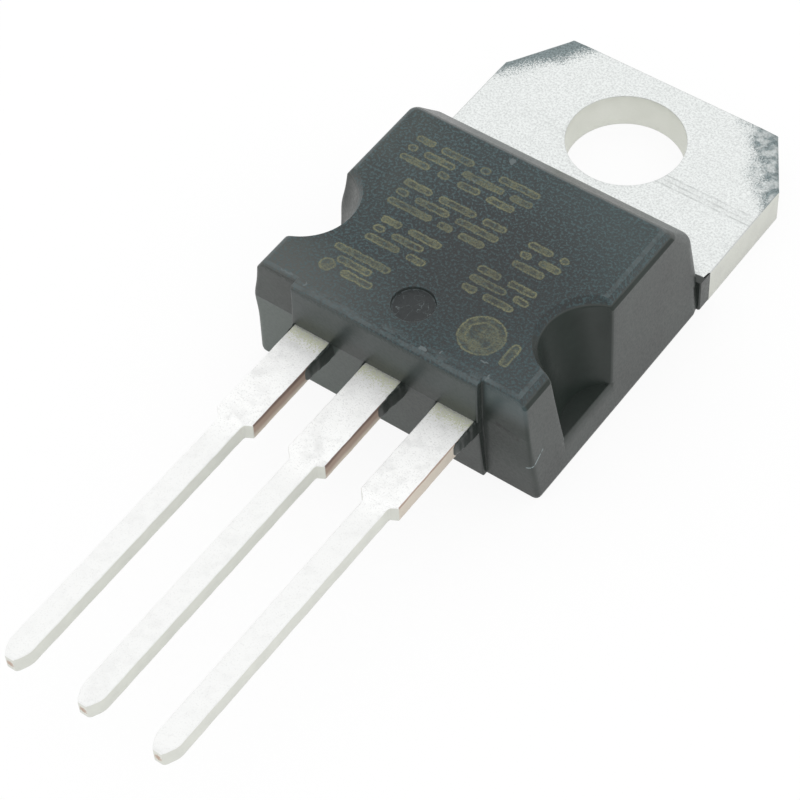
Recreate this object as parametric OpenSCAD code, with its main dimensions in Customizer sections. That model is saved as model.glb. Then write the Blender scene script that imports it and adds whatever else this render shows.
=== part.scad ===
// Power MOSFET in the three-lead through-hole package with a metal mounting tab (TO-220 outline).
// Frame: the origin is the centre of the mounting hole on the rear, metal face. +X runs to the
// right across the leads, +Y runs to the free end of the tab, +Z comes out of the printed front.
// All sizes are in millimetres, and "y" sizes are distances from the centre of the hole.

/* [Tab and header] */
// Width of the metal tab
tab_w = 10.14; // [9.8:0.02:10.6]
// Thickness of the tab and of the header inside the mould
tab_t = 1.27; // [1.1:0.01:1.4]
// Hole centre to the free end of the tab
hole_to_end = 2.8; // [2.5:0.05:3.2]
// Diameter of the mounting hole
hole_d = 3.8; // [3.4:0.05:4]
// Cut corner of the tab, measured across the tab
tab_corner_x = 1.24; // [0.5:0.02:1.8]
// Cut corner of the tab, measured along the tab
tab_corner_y = 2.0; // [0.5:0.05:2.4]
// Hole centre to the shoulder where the tab narrows inside the mould
header_shoulder_y = 3.05; // [2.8:0.05:3.2]
// Width of the header inside the mould, over its lock lips
header_w = 8.5; // [7.6:0.05:8.6]
// How far the lock lip stands out of each side of the header
lip_out = 0.25; // [0.1:0.01:0.4]
// Height of the lock lip
lip_t = 0.4; // [0.3:0.01:0.5]
// Hole centre to the inner end of the header
header_end_y = 9.9; // [9.4:0.05:10]
// Depth of the moisture groove across the header
groove_depth = 0.2; // [0.1:0.01:0.3]
// Hole centre to the middle of the moisture groove
groove_y = 4.6; // [4.4:0.05:4.7]

/* [Mould] */
// Height of the package over the rear face
mould_h = 4.5; // [4.3:0.02:4.7]
// Width of the mould at its widest line
mould_w = 10.1; // [9.9:0.02:10.4]
// Gap from the rear face of the tab to the rear face of the mould
rear_step = 0.04; // [0.02:0.01:0.1]
// Height of the widest line of the sides
side_line_z = 0.16; // [0.12:0.01:0.4]
// Draft of the long sides, in degrees
side_draft = 4.9; // [2:0.1:7]
// Width of the bevel along the long front edges
side_bevel_w = 0.25; // [0.1:0.01:0.4]
// Height of the bevel along the long front edges
side_bevel_h = 0.42; // [0.2:0.02:0.6]
// Hole centre to the mould's end face, at the tab
mould_start_y = 3.43; // [3.35:0.01:3.6]
// Draft of the end face at the tab, in degrees
tab_draft = 7; // [3:0.5:12]
// Width of the slope from that end face to the front, seen from the front
slope_w = 1.31; // [0.8:0.01:1.6]
// Height of that slope
slope_h = 1.37; // [0.8:0.01:1.6]
// Radius of the upright corners at the tab end
tab_corner_r = 0.5; // [0.2:0.02:0.7]
// Hole centre to the end faces beside the leads, at the parting line
mould_end_y = 12.46; // [12.3:0.02:12.8]
// How far those end faces draw in from the parting line to the rear
end_draw = 0.16; // [0.05:0.01:0.3]
// How far the middle block stands past those end faces
block_out = 0.26; // [0.15:0.01:0.4]
// How far the block's end face draws in from the parting line to the rear
block_draw = 0.26; // [0.1:0.01:0.4]
// Width of the middle block
block_w = 6.5; // [6.3:0.02:7]
// Draft of the lead end above the parting line, in degrees
end_draft = 0.6; // [0.2:0.1:3]
// Radius of the front edge over the leads
end_edge_r = 0.2; // [0.1:0.01:0.3]
// How far the wings beside the tab reach along the mould's sides
wing_len = 0.68; // [0.5:0.01:0.9]
// Radius of the side notches at the front face
notch_r = 1.96; // [1.6:0.01:2.1]
// Distance of the notch's centre line outside the mould's widest line
notch_out = 0.66; // [0.5:0.01:0.9]
// Hole centre to the middle of the notches
notch_y = 9.64; // [9.4:0.02:9.8]
// Draft of the notches, in degrees
notch_draft = 10; // [5:0.5:12]
// How far the soft rim of a notch flares out
notch_flare = 0.16; // [0.08:0.01:0.25]
// Diameter of the ejector pin's mark
ejector_d = 1.3; // [1:0.05:1.5]
// Depth of the ejector pin's mark
ejector_depth = 0.1; // [0.05:0.01:0.15]
// Hole centre to the ejector pin's mark
ejector_y = 11.27; // [11:0.05:11.5]

/* [Leads] */
// Distance between neighbouring leads
pitch = 2.54; // [2.5:0.01:2.6]
// Thickness of the leads
lead_t = 0.6; // [0.48:0.01:0.7]
// Height of the middle of the leads over the rear face
lead_mid_z = 2.52; // [2.4:0.01:2.72]
// Width of the leads
lead_w = 0.76; // [0.61:0.01:0.88]
// Width of the leads next to the mould
stub_w = 1.28; // [1.14:0.01:1.5]
// Hole centre to the shoulders of the leads
shoulder_y = 16.36; // [16.1:0.02:16.8]
// Hole centre to the tips of the leads
tip_y = 26.15; // [25:0.05:27]
// Length of the tip's taper
tip_len = 0.42; // [0.2:0.01:0.6]
// Width of the tip's flat end
tip_w = 0.34; // [0.2:0.01:0.5]
// Rise angle of the middle lead inside the mould, in degrees
rise_angle = 52; // [45:1:60]
// Width of the bond posts inside the mould
post_w = 2.3; // [1.8:0.05:2.4]
// Length of the bond posts
post_len = 1.3; // [1:0.05:1.4]

/* [Die and wires] */
// Width of the silicon die
die_w = 4.4; // [3.6:0.05:4.8]
// Length of the silicon die
die_len = 3.9; // [3:0.05:4.2]
// Thickness of the silicon die
die_t = 0.28; // [0.2:0.01:0.35]
// Thickness of the solder under the die
solder_t = 0.05; // [0.04:0.005:0.08]
// How far the solder reaches past the die
solder_rim = 0.12; // [0.05:0.01:0.2]
// Hole centre to the middle of the die
die_y = 7.4; // [7.2:0.05:7.5]
// Diameter of the two source wires
source_wire_d = 0.38; // [0.25:0.01:0.4]
// Diameter of the gate wire
gate_wire_d = 0.18; // [0.12:0.01:0.25]
// Distance between the source wires
source_wire_gap = 0.9; // [0.75:0.05:1]

/* [Hidden] */
$fn = 48;

tin_grey = "#c9ccce";
mould_grey = "#3c4346";
die_grey = "#6f7684";
solder_grey = "#8e9196";
wire_grey = "#d8dadc";

// A small overlap between solids that are joined, and a reach past what is cut
eps = 0.01;
reach = 1;

// Plan of the tab and header
tab_corner_flat = tab_w/2 - tab_corner_x;
header_half = header_w/2 - lip_out;
lip_z = (tab_t - lip_t)/2;
shoulder_in = 0.12;
shoulder_len = 0.6;
header_start_y = mould_start_y + shoulder_len;

// Heights and faces of the mould
lead_z = lead_mid_z - lead_t/2;
lead_top_z = lead_z + lead_t;
side_half = mould_w/2;
rear_half = side_half - 0.03;
bevel_z = mould_h - side_bevel_h;
bevel_half = side_half - (bevel_z - side_line_z)*tan(side_draft);
slope_z = mould_h - slope_h;
slope_y = mould_start_y + (slope_z - tab_t)*tan(tab_draft);
end_top_y = mould_end_y - (mould_h - end_edge_r - lead_top_z)*tan(end_draft);

// Notch: a drafted scallop in each side with its floor level with the tab's top
notch_x = side_half + notch_out;
notch_flare_h = 0.3;
notch_wall_z = mould_h - notch_flare_h;
notch_floor_r = notch_r - (notch_wall_z - tab_t)*tan(notch_draft);
flare_bow = 0.35;

// Middle lead inside the mould: flat on the header's end, a rise, then level
rise_lead_in = 0.46;
rise_level = 0.8;
rise_start_y = header_end_y + rise_lead_in;
rise_end_y = rise_start_y + (lead_z - (tab_t - lead_t))/tan(rise_angle);

// Lead shoulders: a slanted cut on the left, a squarer cut with a small fillet on the right
stub_shift = -0.02;
slant_w = 0.09;
slant_len = 0.2;
slant_foot = 0.12;
square_w = 0.03;
square_len = 0.11;
square_foot = 0.09;

// Bond posts
post_start_y = header_end_y + 0.55;
post_end_y = post_start_y + post_len;
post_shift = 0.28;
neck_len = 0.35;

// Die stack
die_z = tab_t + solder_t;
die_top_z = die_z + die_t;

// Wires: where each starts on the die and ends on its post
gate_pad = [-die_w/2 + 0.7, -(die_y + die_len/2 - 0.5)];
post_mid_y = -(post_start_y + post_len/2);
gate_post = [-pitch - post_shift, post_mid_y];
source_pad = [die_w/2 - 1.35, -(die_y + 0.55)];
source_post = [pitch + post_shift, post_mid_y];
loop_lean = 0.62;
foot_flat = 0.6;
foot_long = 1.7;
foot_wide = 1.35;

// ---- helpers ----

// Points of an arc in a plane, "steps" chords long
function arc(centre, r, from, to, steps) =
    [for (i = [0:steps]) centre + r*[cos(from + (to - from)*i/steps), sin(from + (to - from)*i/steps)]];

// End wall over and under the leads in side view (y, z), from the front face to the rear
function end_wall(out, draw) = concat(
    arc([-end_top_y - out + end_edge_r, mould_h - end_edge_r], end_edge_r, 90, 180, 4),
    [[-mould_end_y - out, lead_top_z], [-mould_end_y - out + draw, rear_step]]
);

// Right edge of a lead in plan, from the mould to the tip
function lead_right() = [
    [stub_w/2 + stub_shift, -shoulder_y],
    [lead_w/2 + square_w, -shoulder_y - square_len],
    [lead_w/2, -shoulder_y - square_len - square_foot],
    [lead_w/2, -tip_y + tip_len], [tip_w/2, -tip_y]
];

// Left edge of a lead in plan, from the tip to the mould
function lead_left() = [
    [-tip_w/2, -tip_y], [-lead_w/2, -tip_y + tip_len],
    [-lead_w/2, -shoulder_y - slant_len - slant_foot],
    [-lead_w/2 - slant_w, -shoulder_y - slant_len],
    [-stub_w/2 + stub_shift, -shoulder_y]
];

// Outline of a plain lead in plan, centred on x = 0, from y_start to its tip
module lead_plan(y_start) {
    polygon(concat([[stub_w/2 + stub_shift, -y_start]], lead_right(),
                   lead_left(), [[-stub_w/2 + stub_shift, -y_start]]));
}

// Outline of an outer lead in plan: a bond post that narrows to the stub, then the lead
module post_plan(side) {
    mid = side*post_shift;
    half = post_w/2;
    polygon(concat(
        [[mid + half, -post_start_y], [mid + half, -post_end_y],
         [stub_w/2 + stub_shift, -post_end_y - neck_len]],
        lead_right(), lead_left(),
        [[-stub_w/2 + stub_shift, -post_end_y - neck_len],
         [mid - half, -post_end_y], [mid - half, -post_start_y]]
    ));
}

// Side view of the middle lead from the header's end to its level run, drawn in (y, z)
module rise_profile() {
    low = tab_t - lead_t;
    // Both faces keep the lead's thickness round the two bends
    k = lead_t*tan(rise_angle/2);
    polygon([
        [-header_end_y + rise_level, low], [-rise_start_y, low],
        [-rise_end_y, lead_z], [-rise_end_y - rise_level, lead_z],
        [-rise_end_y - rise_level, lead_top_z], [-rise_end_y + k, lead_top_z],
        [-rise_start_y + k, tab_t], [-header_end_y + rise_level, tab_t]
    ]);
}

// The pressed end of a wire: a flat round-ended pad
module wire_foot(d) {
    w = d*foot_wide;
    long = d*foot_long;
    linear_extrude(d*foot_flat) {
        square([long, w], center = true);
        for (s = [-1, 1])
            translate([s*long/2, 0])
                circle(w/2, $fn = 24);
    }
}

// A bond wire: an arc between two points of an upright plane, with a pressed foot at each end
module bond_wire(from, to, z_from, z_to, d) {
    run = norm(to - from);
    turn = atan2(to[1] - from[1], to[0] - from[0]);
    p = [0, z_from + d/2];
    q = [run, z_to + d/2];
    chord = norm(q - p);
    radius = chord*loop_lean;
    tilt = atan2(q[1] - p[1], run);
    half = asin(chord/2/radius);
    drop = radius*cos(half);
    centre = (p + q)/2 + drop*[sin(tilt), -cos(tilt)];
    translate([from[0], from[1], 0])
        rotate([0, 0, turn]) {
            translate([centre[0], 0, centre[1]])
                rotate([90, 0, 0])
                    rotate([0, 0, 90 + tilt - half])
                        rotate_extrude(angle = 2*half)
                            translate([radius, 0])
                                circle(d/2, $fn = 24);
            translate([0, 0, z_from])
                wire_foot(d);
            translate([run, 0, z_to])
                wire_foot(d);
        }
}

// ---- tab and header ----

// Plan of the tab with its cut corners and its shoulders
module tab_plan() {
    w = tab_w/2;
    polygon([
        [-tab_corner_flat, hole_to_end], [tab_corner_flat, hole_to_end],
        [w, hole_to_end - tab_corner_y], [w, -header_shoulder_y],
        [w - shoulder_in, -mould_start_y], [header_half, -header_start_y],
        [-header_half, -header_start_y], [-w + shoulder_in, -mould_start_y],
        [-w, -header_shoulder_y], [-w, hole_to_end - tab_corner_y]
    ]);
}

// Cross-section of the header inside the mould, with a lock lip on each side
module header_section() {
    h = header_half;
    o = header_w/2;
    polygon([
        [-h, 0], [h, 0], [h, lip_z], [o, lip_z], [o, lip_z + lip_t], [h, lip_z + lip_t],
        [h, tab_t], [-h, tab_t], [-h, lip_z + lip_t], [-o, lip_z + lip_t], [-o, lip_z], [-h, lip_z]
    ]);
}

module header_bar() {
    translate([0, -header_start_y + eps, 0])
        rotate([90, 0, 0])
            linear_extrude(header_end_y - header_start_y + eps)
                header_section();
}

// Solid of the middle lead: its side view cut to its plan
module drain_lead_solid() {
    intersection() {
        union() {
            translate([-stub_w, 0, 0])
                rotate([90, 0, 90])
                    linear_extrude(2*stub_w)
                        rise_profile();
            translate([-stub_w, -tip_y - reach, lead_z])
                cube([2*stub_w, tip_y + reach - rise_end_y - rise_level/2, lead_t]);
        }
        translate([0, 0, -reach])
            linear_extrude(mould_h + 2*reach)
                lead_plan(header_end_y - rise_level/2);
    }
}

// V groove across the top of the header, which keeps moisture away from the die
module moisture_groove() {
    translate([-header_w, -groove_y, tab_t])
        rotate([90, 0, 90])
            linear_extrude(2*header_w)
                polygon([[-groove_depth, eps], [0, -groove_depth], [groove_depth, eps]]);
}

module drain_header() {
    color(tin_grey)
        difference() {
            union() {
                linear_extrude(tab_t)
                    tab_plan();
                header_bar();
                drain_lead_solid();
            }
            translate([0, 0, -reach])
                cylinder(h = tab_t + 2*reach, d = hole_d);
            moisture_groove();
        }
}

// ---- outer leads ----

// An outer lead with its bond post; side is -1 for the gate and 1 for the source
module outer_lead(side) {
    color(tin_grey)
        translate([side*pitch, 0, lead_z])
            linear_extrude(lead_t)
                post_plan(side);
}

module gate_lead() { outer_lead(-1); }

module source_lead() { outer_lead(1); }

// ---- die and wires ----

module silicon_die() {
    color(die_grey)
        translate([-die_w/2, -die_y - die_len/2, die_z])
            cube([die_w, die_len, die_t]);
}

module die_solder() {
    w = die_w + 2*solder_rim;
    l = die_len + 2*solder_rim;
    color(solder_grey)
        translate([-w/2, -die_y - l/2, tab_t])
            cube([w, l, solder_t]);
}

module gate_wire() {
    color(wire_grey)
        bond_wire(gate_pad, gate_post, die_top_z, lead_top_z, gate_wire_d);
}

// One of the two source wires; side is -1 for the inner and 1 for the outer
module source_wire(side) {
    shift = [side*source_wire_gap/2, 0];
    color(wire_grey)
        bond_wire(source_pad + shift, source_post + shift, die_top_z, lead_top_z, source_wire_d);
}

module source_wire_inner() { source_wire(-1); }

module source_wire_outer() { source_wire(1); }

// Everything the mould is cast round
module cast_in() {
    drain_header();
    gate_lead();
    source_lead();
    silicon_die();
    die_solder();
    gate_wire();
    source_wire_inner();
    source_wire_outer();
}

// ---- mould ----

// The mould seen along its length (x, z): drafted sides with bevelled front edges
module cross_section() {
    right = [[rear_half, rear_step], [side_half, side_line_z], [bevel_half, bevel_z],
             [bevel_half - side_bevel_w, mould_h]];
    polygon(concat(right, [for (i = [3:-1:0]) [-right[i][0], right[i][1]]]));
}

// The mould seen from its side (y, z): a steep face and a long slope at the tab end
module length_section() {
    polygon(concat(
        [[-mould_start_y, rear_step], [-mould_start_y, tab_t], [-slope_y, slope_z],
         [-slope_y - slope_w, mould_h]],
        end_wall(0, end_draw)
    ));
}

// What the upright corner at the tab end loses: a leaning edge outside a round one
module corner_cut(side) {
    lean = atan(tan(tab_draft)*cos(side_draft));
    x = side_half - (tab_t - side_line_z)*tan(side_draft) - tab_corner_r/cos(side_draft);
    translate([side*x, -mould_start_y - tab_corner_r/cos(tab_draft), tab_t])
        rotate([lean, -side*side_draft, 0])
            translate([0, 0, -tab_t - reach])
                difference() {
                    translate([side > 0 ? 0 : -reach, 0, 0])
                        cube([reach, reach, mould_h + 2*reach]);
                    translate([0, 0, -eps])
                        cylinder(h = mould_h + 2*reach + 2*eps, r = tab_corner_r);
                }
}

module mould_form() {
    difference() {
        intersection() {
            translate([0, reach, 0])
                rotate([90, 0, 0])
                    linear_extrude(mould_end_y + 2*reach)
                        cross_section();
            translate([-mould_w, 0, 0])
                rotate([90, 0, 90])
                    linear_extrude(2*mould_w)
                        length_section();
        }
        corner_cut(-1);
        corner_cut(1);
    }
}

// Middle block of the lead end, a little proud of the end faces beside it
module lead_block() {
    translate([-block_w/2, 0, 0])
        rotate([90, 0, 90])
            linear_extrude(block_w)
                polygon(concat([[-mould_end_y + reach, rear_step], [-mould_end_y + reach, mould_h]],
                               end_wall(block_out, block_draw)));
}

// Wings of moulding beside the header's shoulders, no higher than the tab
module wing(side) {
    x_in = header_half - eps;
    width = tab_w/2 - x_in;
    translate([side > 0 ? x_in : -tab_w/2, -header_shoulder_y - wing_len, rear_step])
        cube([width, wing_len, tab_t - rear_step]);
}

// Side notch: a drafted scallop with a softly flared rim
module notch(side) {
    translate([side*notch_x, -notch_y, 0])
        rotate_extrude()
            polygon([
                [0, tab_t], [notch_floor_r, tab_t], [notch_r, notch_wall_z],
                [notch_r + notch_flare*flare_bow, mould_h - notch_flare_h*flare_bow],
                [notch_r + notch_flare, mould_h + eps], [0, mould_h + eps]
            ]);
}

module mould_body() {
    color(mould_grey)
        difference() {
            union() {
                mould_form();
                lead_block();
                wing(-1);
                wing(1);
            }
            notch(-1);
            notch(1);
            translate([0, -ejector_y, mould_h - ejector_depth])
                cylinder(h = reach, d = ejector_d);
            cast_in();
        }
}

drain_header();
mould_body();
gate_lead();
source_lead();
silicon_die();
die_solder();
gate_wire();
source_wire_inner();
source_wire_outer();
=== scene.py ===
"""Dressed model of a power MOSFET in the TO-220 outline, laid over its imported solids.

Every length inside the classes is in millimetres in the frame of the part: the origin is the
centre of the mounting hole on the rear face, +X runs across the leads, +Y to the free end of the
tab, and +Z out of the front. The meshes are scaled to metres when they are made.
"""
import logging
import math
from dataclasses import dataclass, field
from enum import Enum
from functools import reduce
from typing import Optional, Sequence, Union

import bpy
import numpy as np
from mathutils import Matrix


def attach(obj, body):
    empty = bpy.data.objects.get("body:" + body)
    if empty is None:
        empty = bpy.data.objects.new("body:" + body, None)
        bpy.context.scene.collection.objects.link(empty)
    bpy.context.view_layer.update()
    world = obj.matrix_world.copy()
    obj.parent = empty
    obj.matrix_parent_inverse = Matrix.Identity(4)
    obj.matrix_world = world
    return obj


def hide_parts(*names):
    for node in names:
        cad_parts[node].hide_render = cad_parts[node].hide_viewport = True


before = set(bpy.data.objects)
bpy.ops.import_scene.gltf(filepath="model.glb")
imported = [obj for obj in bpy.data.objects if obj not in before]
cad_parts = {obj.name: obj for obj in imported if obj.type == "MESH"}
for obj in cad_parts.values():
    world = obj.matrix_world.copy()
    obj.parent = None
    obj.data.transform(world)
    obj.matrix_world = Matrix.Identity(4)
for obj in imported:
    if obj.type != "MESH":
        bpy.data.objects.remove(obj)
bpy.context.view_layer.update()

LOG = logging.getLogger("power_mosfet")
MM = 0.001
Array = np.ndarray
# A low and a high limit
Band = tuple[float, float]
# Size of a noise's largest lumps in millimetres, its octaves and the weight of the finer ones
Noise = tuple[float, float, float]
Colour = tuple[float, float, float]
Socket = bpy.types.NodeSocket


class Body(Enum):
    """The bodies that pieces ride on."""

    ROOT = "root"


class Slot(Enum):
    """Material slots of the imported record."""

    COPPER = "tinned_copper"
    EPOXY = "mould_epoxy"
    SILICON = "silicon"
    SOLDER = "solder"
    WIRE = "wire_aluminium"


@dataclass(frozen=True)
class Package:
    """Sizes that several sub-assemblies and finishes share."""

    height: float = 4.5
    parting_z: float = 2.82
    tab_t: float = 1.27
    tab_half: float = 5.07
    hole_r: float = 1.9
    body_start: float = 3.43
    wing_tip: float = 3.17
    pitch: float = 2.54
    lead_mid: float = 2.52
    stub_left: float = -0.66
    stub_right: float = 0.62
    mark: tuple[float, float] = (0.08, -11.28)


SIZE = Package()


# ---------------------------------------------------------------------------
# Curves and surfaces
# ---------------------------------------------------------------------------

def eased(points: Sequence[Sequence[float]], radii: Sequence[float], steps: int = 6) -> Array:
    """A polyline with its inner corners rounded.

    Each inner corner gives way to the parabola that starts and ends one tangent length from it,
    where the tangent length is the radius times the tangent of half the turn.

    Args:
        points: corners as (a, b) pairs, the two ends included.
        radii: a radius for each inner corner.
        steps: points on each rounded corner.

    Returns:
        The curve's points, one row each.
    """
    corners = np.asarray(points, float)
    rows = [corners[:1]]
    t = np.linspace(0.0, 1.0, steps)[:, None]
    for before, corner, after, radius in zip(corners, corners[1:], corners[2:], radii):
        back = (before - corner) / np.linalg.norm(before - corner)
        ahead = (after - corner) / np.linalg.norm(after - corner)
        turn = math.pi - math.acos(float(np.clip(back @ ahead, -1.0, 1.0)))
        length = radius * math.tan(turn / 2)
        start, end = corner + back * length, corner + ahead * length
        rows.append((1 - t) ** 2 * start + 2 * t * (1 - t) * corner + t ** 2 * end)
    rows.append(corners[-1:])
    return np.vstack(rows)


def run(start: Array, end: Array, count: int) -> Array:
    """Points from start up to, but without, end, for every level at once.

    Args:
        start: one (x, y) row for each level.
        end: one (x, y) row for each level.
        count: points on the run.

    Returns:
        An array of levels by points by 2.
    """
    t = (np.arange(count) / count)[None, :, None]
    return start[:, None, :] * (1 - t) + end[:, None, :] * t


def bend(start: Array, corner: Array, end: Array, count: int) -> Array:
    """A parabola from start round corner up to, but without, end, for every level at once.

    Args:
        start: one (x, y) row for each level.
        corner: the sharp corner that the bend rounds.
        end: one (x, y) row for each level.
        count: points on the bend.

    Returns:
        An array of levels by points by 2.
    """
    t = (np.arange(count) / count)[None, :, None]
    return ((1 - t) ** 2 * start[:, None, :] + 2 * t * (1 - t) * corner[:, None, :]
            + t ** 2 * end[:, None, :])


def pairs(x: Union[Array, float], y: Union[Array, float], like: Array) -> Array:
    """Stack x and y into one (x, y) row for each level of "like"."""
    return np.stack([x + np.zeros_like(like), y + np.zeros_like(like)], axis=1)


def wobble(t: Array, seed: int, waves: int = 5, first: float = 1.0) -> Array:
    """A smooth, repeatable unevenness between about -1 and 1.

    It is the sum of sines of t whose frequencies double and whose phases come from the seed.

    Args:
        t: where to work it out.
        seed: picks the phases.
        waves: number of sines.
        first: lowest frequency, in turns for each unit of t.

    Returns:
        One value for each value of t.
    """
    rng = np.random.default_rng(seed)
    total = np.zeros_like(np.asarray(t, float))
    for k in range(waves):
        total += np.sin(2 * np.pi * (first * 1.9 ** k * t + rng.random())) / 1.45 ** k
    return total / 2.2


def rays(points: Array, centre: Array) -> Array:
    """Unit vectors in plan from a centre to each point."""
    out = points - centre
    return out / np.linalg.norm(out, axis=-1, keepdims=True)


def grid_faces(levels: int, points: int, join_levels: bool) -> Array:
    """Quads of a grid whose points run round each level.

    Args:
        levels: number of rings.
        points: number of points on a ring.
        join_levels: whether the last ring joins the first.

    Returns:
        Corner numbers, one row of four for each quad.
    """
    k = np.arange(levels if join_levels else levels - 1)[:, None]
    n = np.arange(points)[None, :]
    k2, n2 = (k + 1) % levels, (n + 1) % points
    return np.stack([k * points + n, k * points + n2, k2 * points + n2, k2 * points + n],
                    axis=-1).reshape(-1, 4)


@dataclass
class Shell:
    """Closed surface made of one or more grids, in millimetres."""

    verts: list[Array] = field(default_factory=list)
    faces: list[list[int]] = field(default_factory=list)
    count: int = 0

    def add(self, rings: Array, join_levels: bool = False) -> None:
        """Add a grid of rings, with a pole at each end unless the rings join up.

        Args:
            rings: levels by points by 3.
            join_levels: whether the last ring joins the first.
        """
        levels, points = rings.shape[:2]
        flat = rings.reshape(-1, 3)
        quads = grid_faces(levels, points, join_levels)
        tris = np.zeros((0, 3), int)
        if not join_levels:
            poles = np.stack([rings[0].mean(axis=0), rings[-1].mean(axis=0)])
            flat = np.vstack([flat, poles])
            n = np.arange(points)
            n2 = (n + 1) % points
            last = (levels - 1) * points
            tris = np.vstack([
                np.stack([n2, n, np.full(points, levels * points)], axis=1),
                np.stack([last + n, last + n2, np.full(points, levels * points + 1)], axis=1)])
        corner = [flat[quads[:, i]] for i in range(4)]
        volume = np.einsum("ij,ij->", corner[0], np.cross(corner[1], corner[2]))
        volume += np.einsum("ij,ij->", corner[0], np.cross(corner[2], corner[3]))
        volume += np.einsum("ij,ij->", flat[tris[:, 0]], np.cross(flat[tris[:, 1]], flat[tris[:, 2]]))
        if volume < 0:
            quads, tris = quads[:, ::-1], tris[:, ::-1]
        self.faces += (quads + self.count).tolist() + (tris + self.count).tolist()
        self.verts.append(flat)
        self.count += len(flat)

    def make(self, name: str, sharp_deg: float) -> bpy.types.Object:
        """Put the surface into a new object in metres.

        Args:
            name: name of the piece.
            sharp_deg: edges that turn more than this stay sharp.

        Returns:
            The object, at the origin.
        """
        mesh = bpy.data.meshes.new(name)
        mesh.from_pydata((np.vstack(self.verts) * MM).tolist(), [], self.faces)
        mesh.polygons.foreach_set("use_smooth", [True] * len(mesh.polygons))
        mesh.update()
        mesh.set_sharp_from_angle(angle=math.radians(sharp_deg))
        piece = bpy.data.objects.new(name, mesh)
        bpy.context.scene.collection.objects.link(piece)
        return piece


# ---------------------------------------------------------------------------
# Materials
# ---------------------------------------------------------------------------

@dataclass(frozen=True)
class Speckle:
    """A noise and the two of its levels that a mask fades in between."""

    grain_mm: float
    detail: float
    rough: float
    low: float
    high: float


def dim(colour: Colour, share: float) -> Colour:
    """A colour with every channel scaled."""
    return tuple(channel * share for channel in colour)


class Value:
    """A number that a material works out, with Python's operators for its sums."""

    def __init__(self, nodes: "Nodes", socket: Socket) -> None:
        """Keep the output that gives the number.

        Args:
            nodes: helper of the node tree.
            socket: the output.
        """
        self.nodes, self.socket = nodes, socket

    def __add__(self, other: "Feed") -> "Value":
        """The sum."""
        return self.nodes.math("ADD", self, other)

    def __sub__(self, other: "Feed") -> "Value":
        """The difference."""
        return self.nodes.math("SUBTRACT", self, other)

    def __rsub__(self, other: "Feed") -> "Value":
        """The difference from a plain number."""
        return self.nodes.math("SUBTRACT", other, self)

    def __mul__(self, other: "Feed") -> "Value":
        """The product."""
        return self.nodes.math("MULTIPLY", self, other)

    def __pow__(self, other: "Feed") -> "Value":
        """The power."""
        return self.nodes.math("POWER", self, other)

    def __abs__(self) -> "Value":
        """The size without the sign."""
        return self.nodes.math("ABSOLUTE", self)

    def most(self, other: "Feed") -> "Value":
        """The larger of two values."""
        return self.nodes.math("MAXIMUM", self, other)

    def least(self, other: "Feed") -> "Value":
        """The smaller of two values."""
        return self.nodes.math("MINIMUM", self, other)

    def sway(self, reach: "Feed") -> "Value":
        """A noise's swing to either side of its middle, scaled to a reach."""
        return (self - 0.5) * reach

    def between(self, low: "Feed", high: "Feed", to_low: float = 0.0, to_high: float = 1.0) -> "Value":
        """The value's place between two limits, smoothed and clamped.

        Args:
            low: where the result is to_low.
            high: where the result is to_high.
            to_low: result at low.
            to_high: result at high.

        Returns:
            The result.
        """
        made = self.nodes.node("ShaderNodeMapRange", interpolation_type="SMOOTHSTEP")
        for key, value in (("Value", self), ("From Min", low), ("From Max", high),
                           ("To Min", to_low), ("To Max", to_high)):
            self.nodes.feed(made.inputs[key], value)
        return Value(self.nodes, made.outputs["Result"])

    def below(self, low: float, high: float) -> "Value":
        """1 under the low limit, falling to 0 at the high one."""
        return self.between(low, high, 1.0, 0.0)

    def inside(self, low: float, high: float, soft: float) -> "Value":
        """1 between two limits and 0 outside them, with soft ends."""
        half = soft / 2
        return self.between(low - half, low + half) * self.below(high - half, high + half)

    def to(self, at_none: float, at_full: float) -> "Value":
        """A mask's 0 and 1 changed to two other numbers."""
        return self.between(0.0, 1.0, at_none, at_full)


Feed = Union[Value, Socket, float, Sequence[float]]


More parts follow.
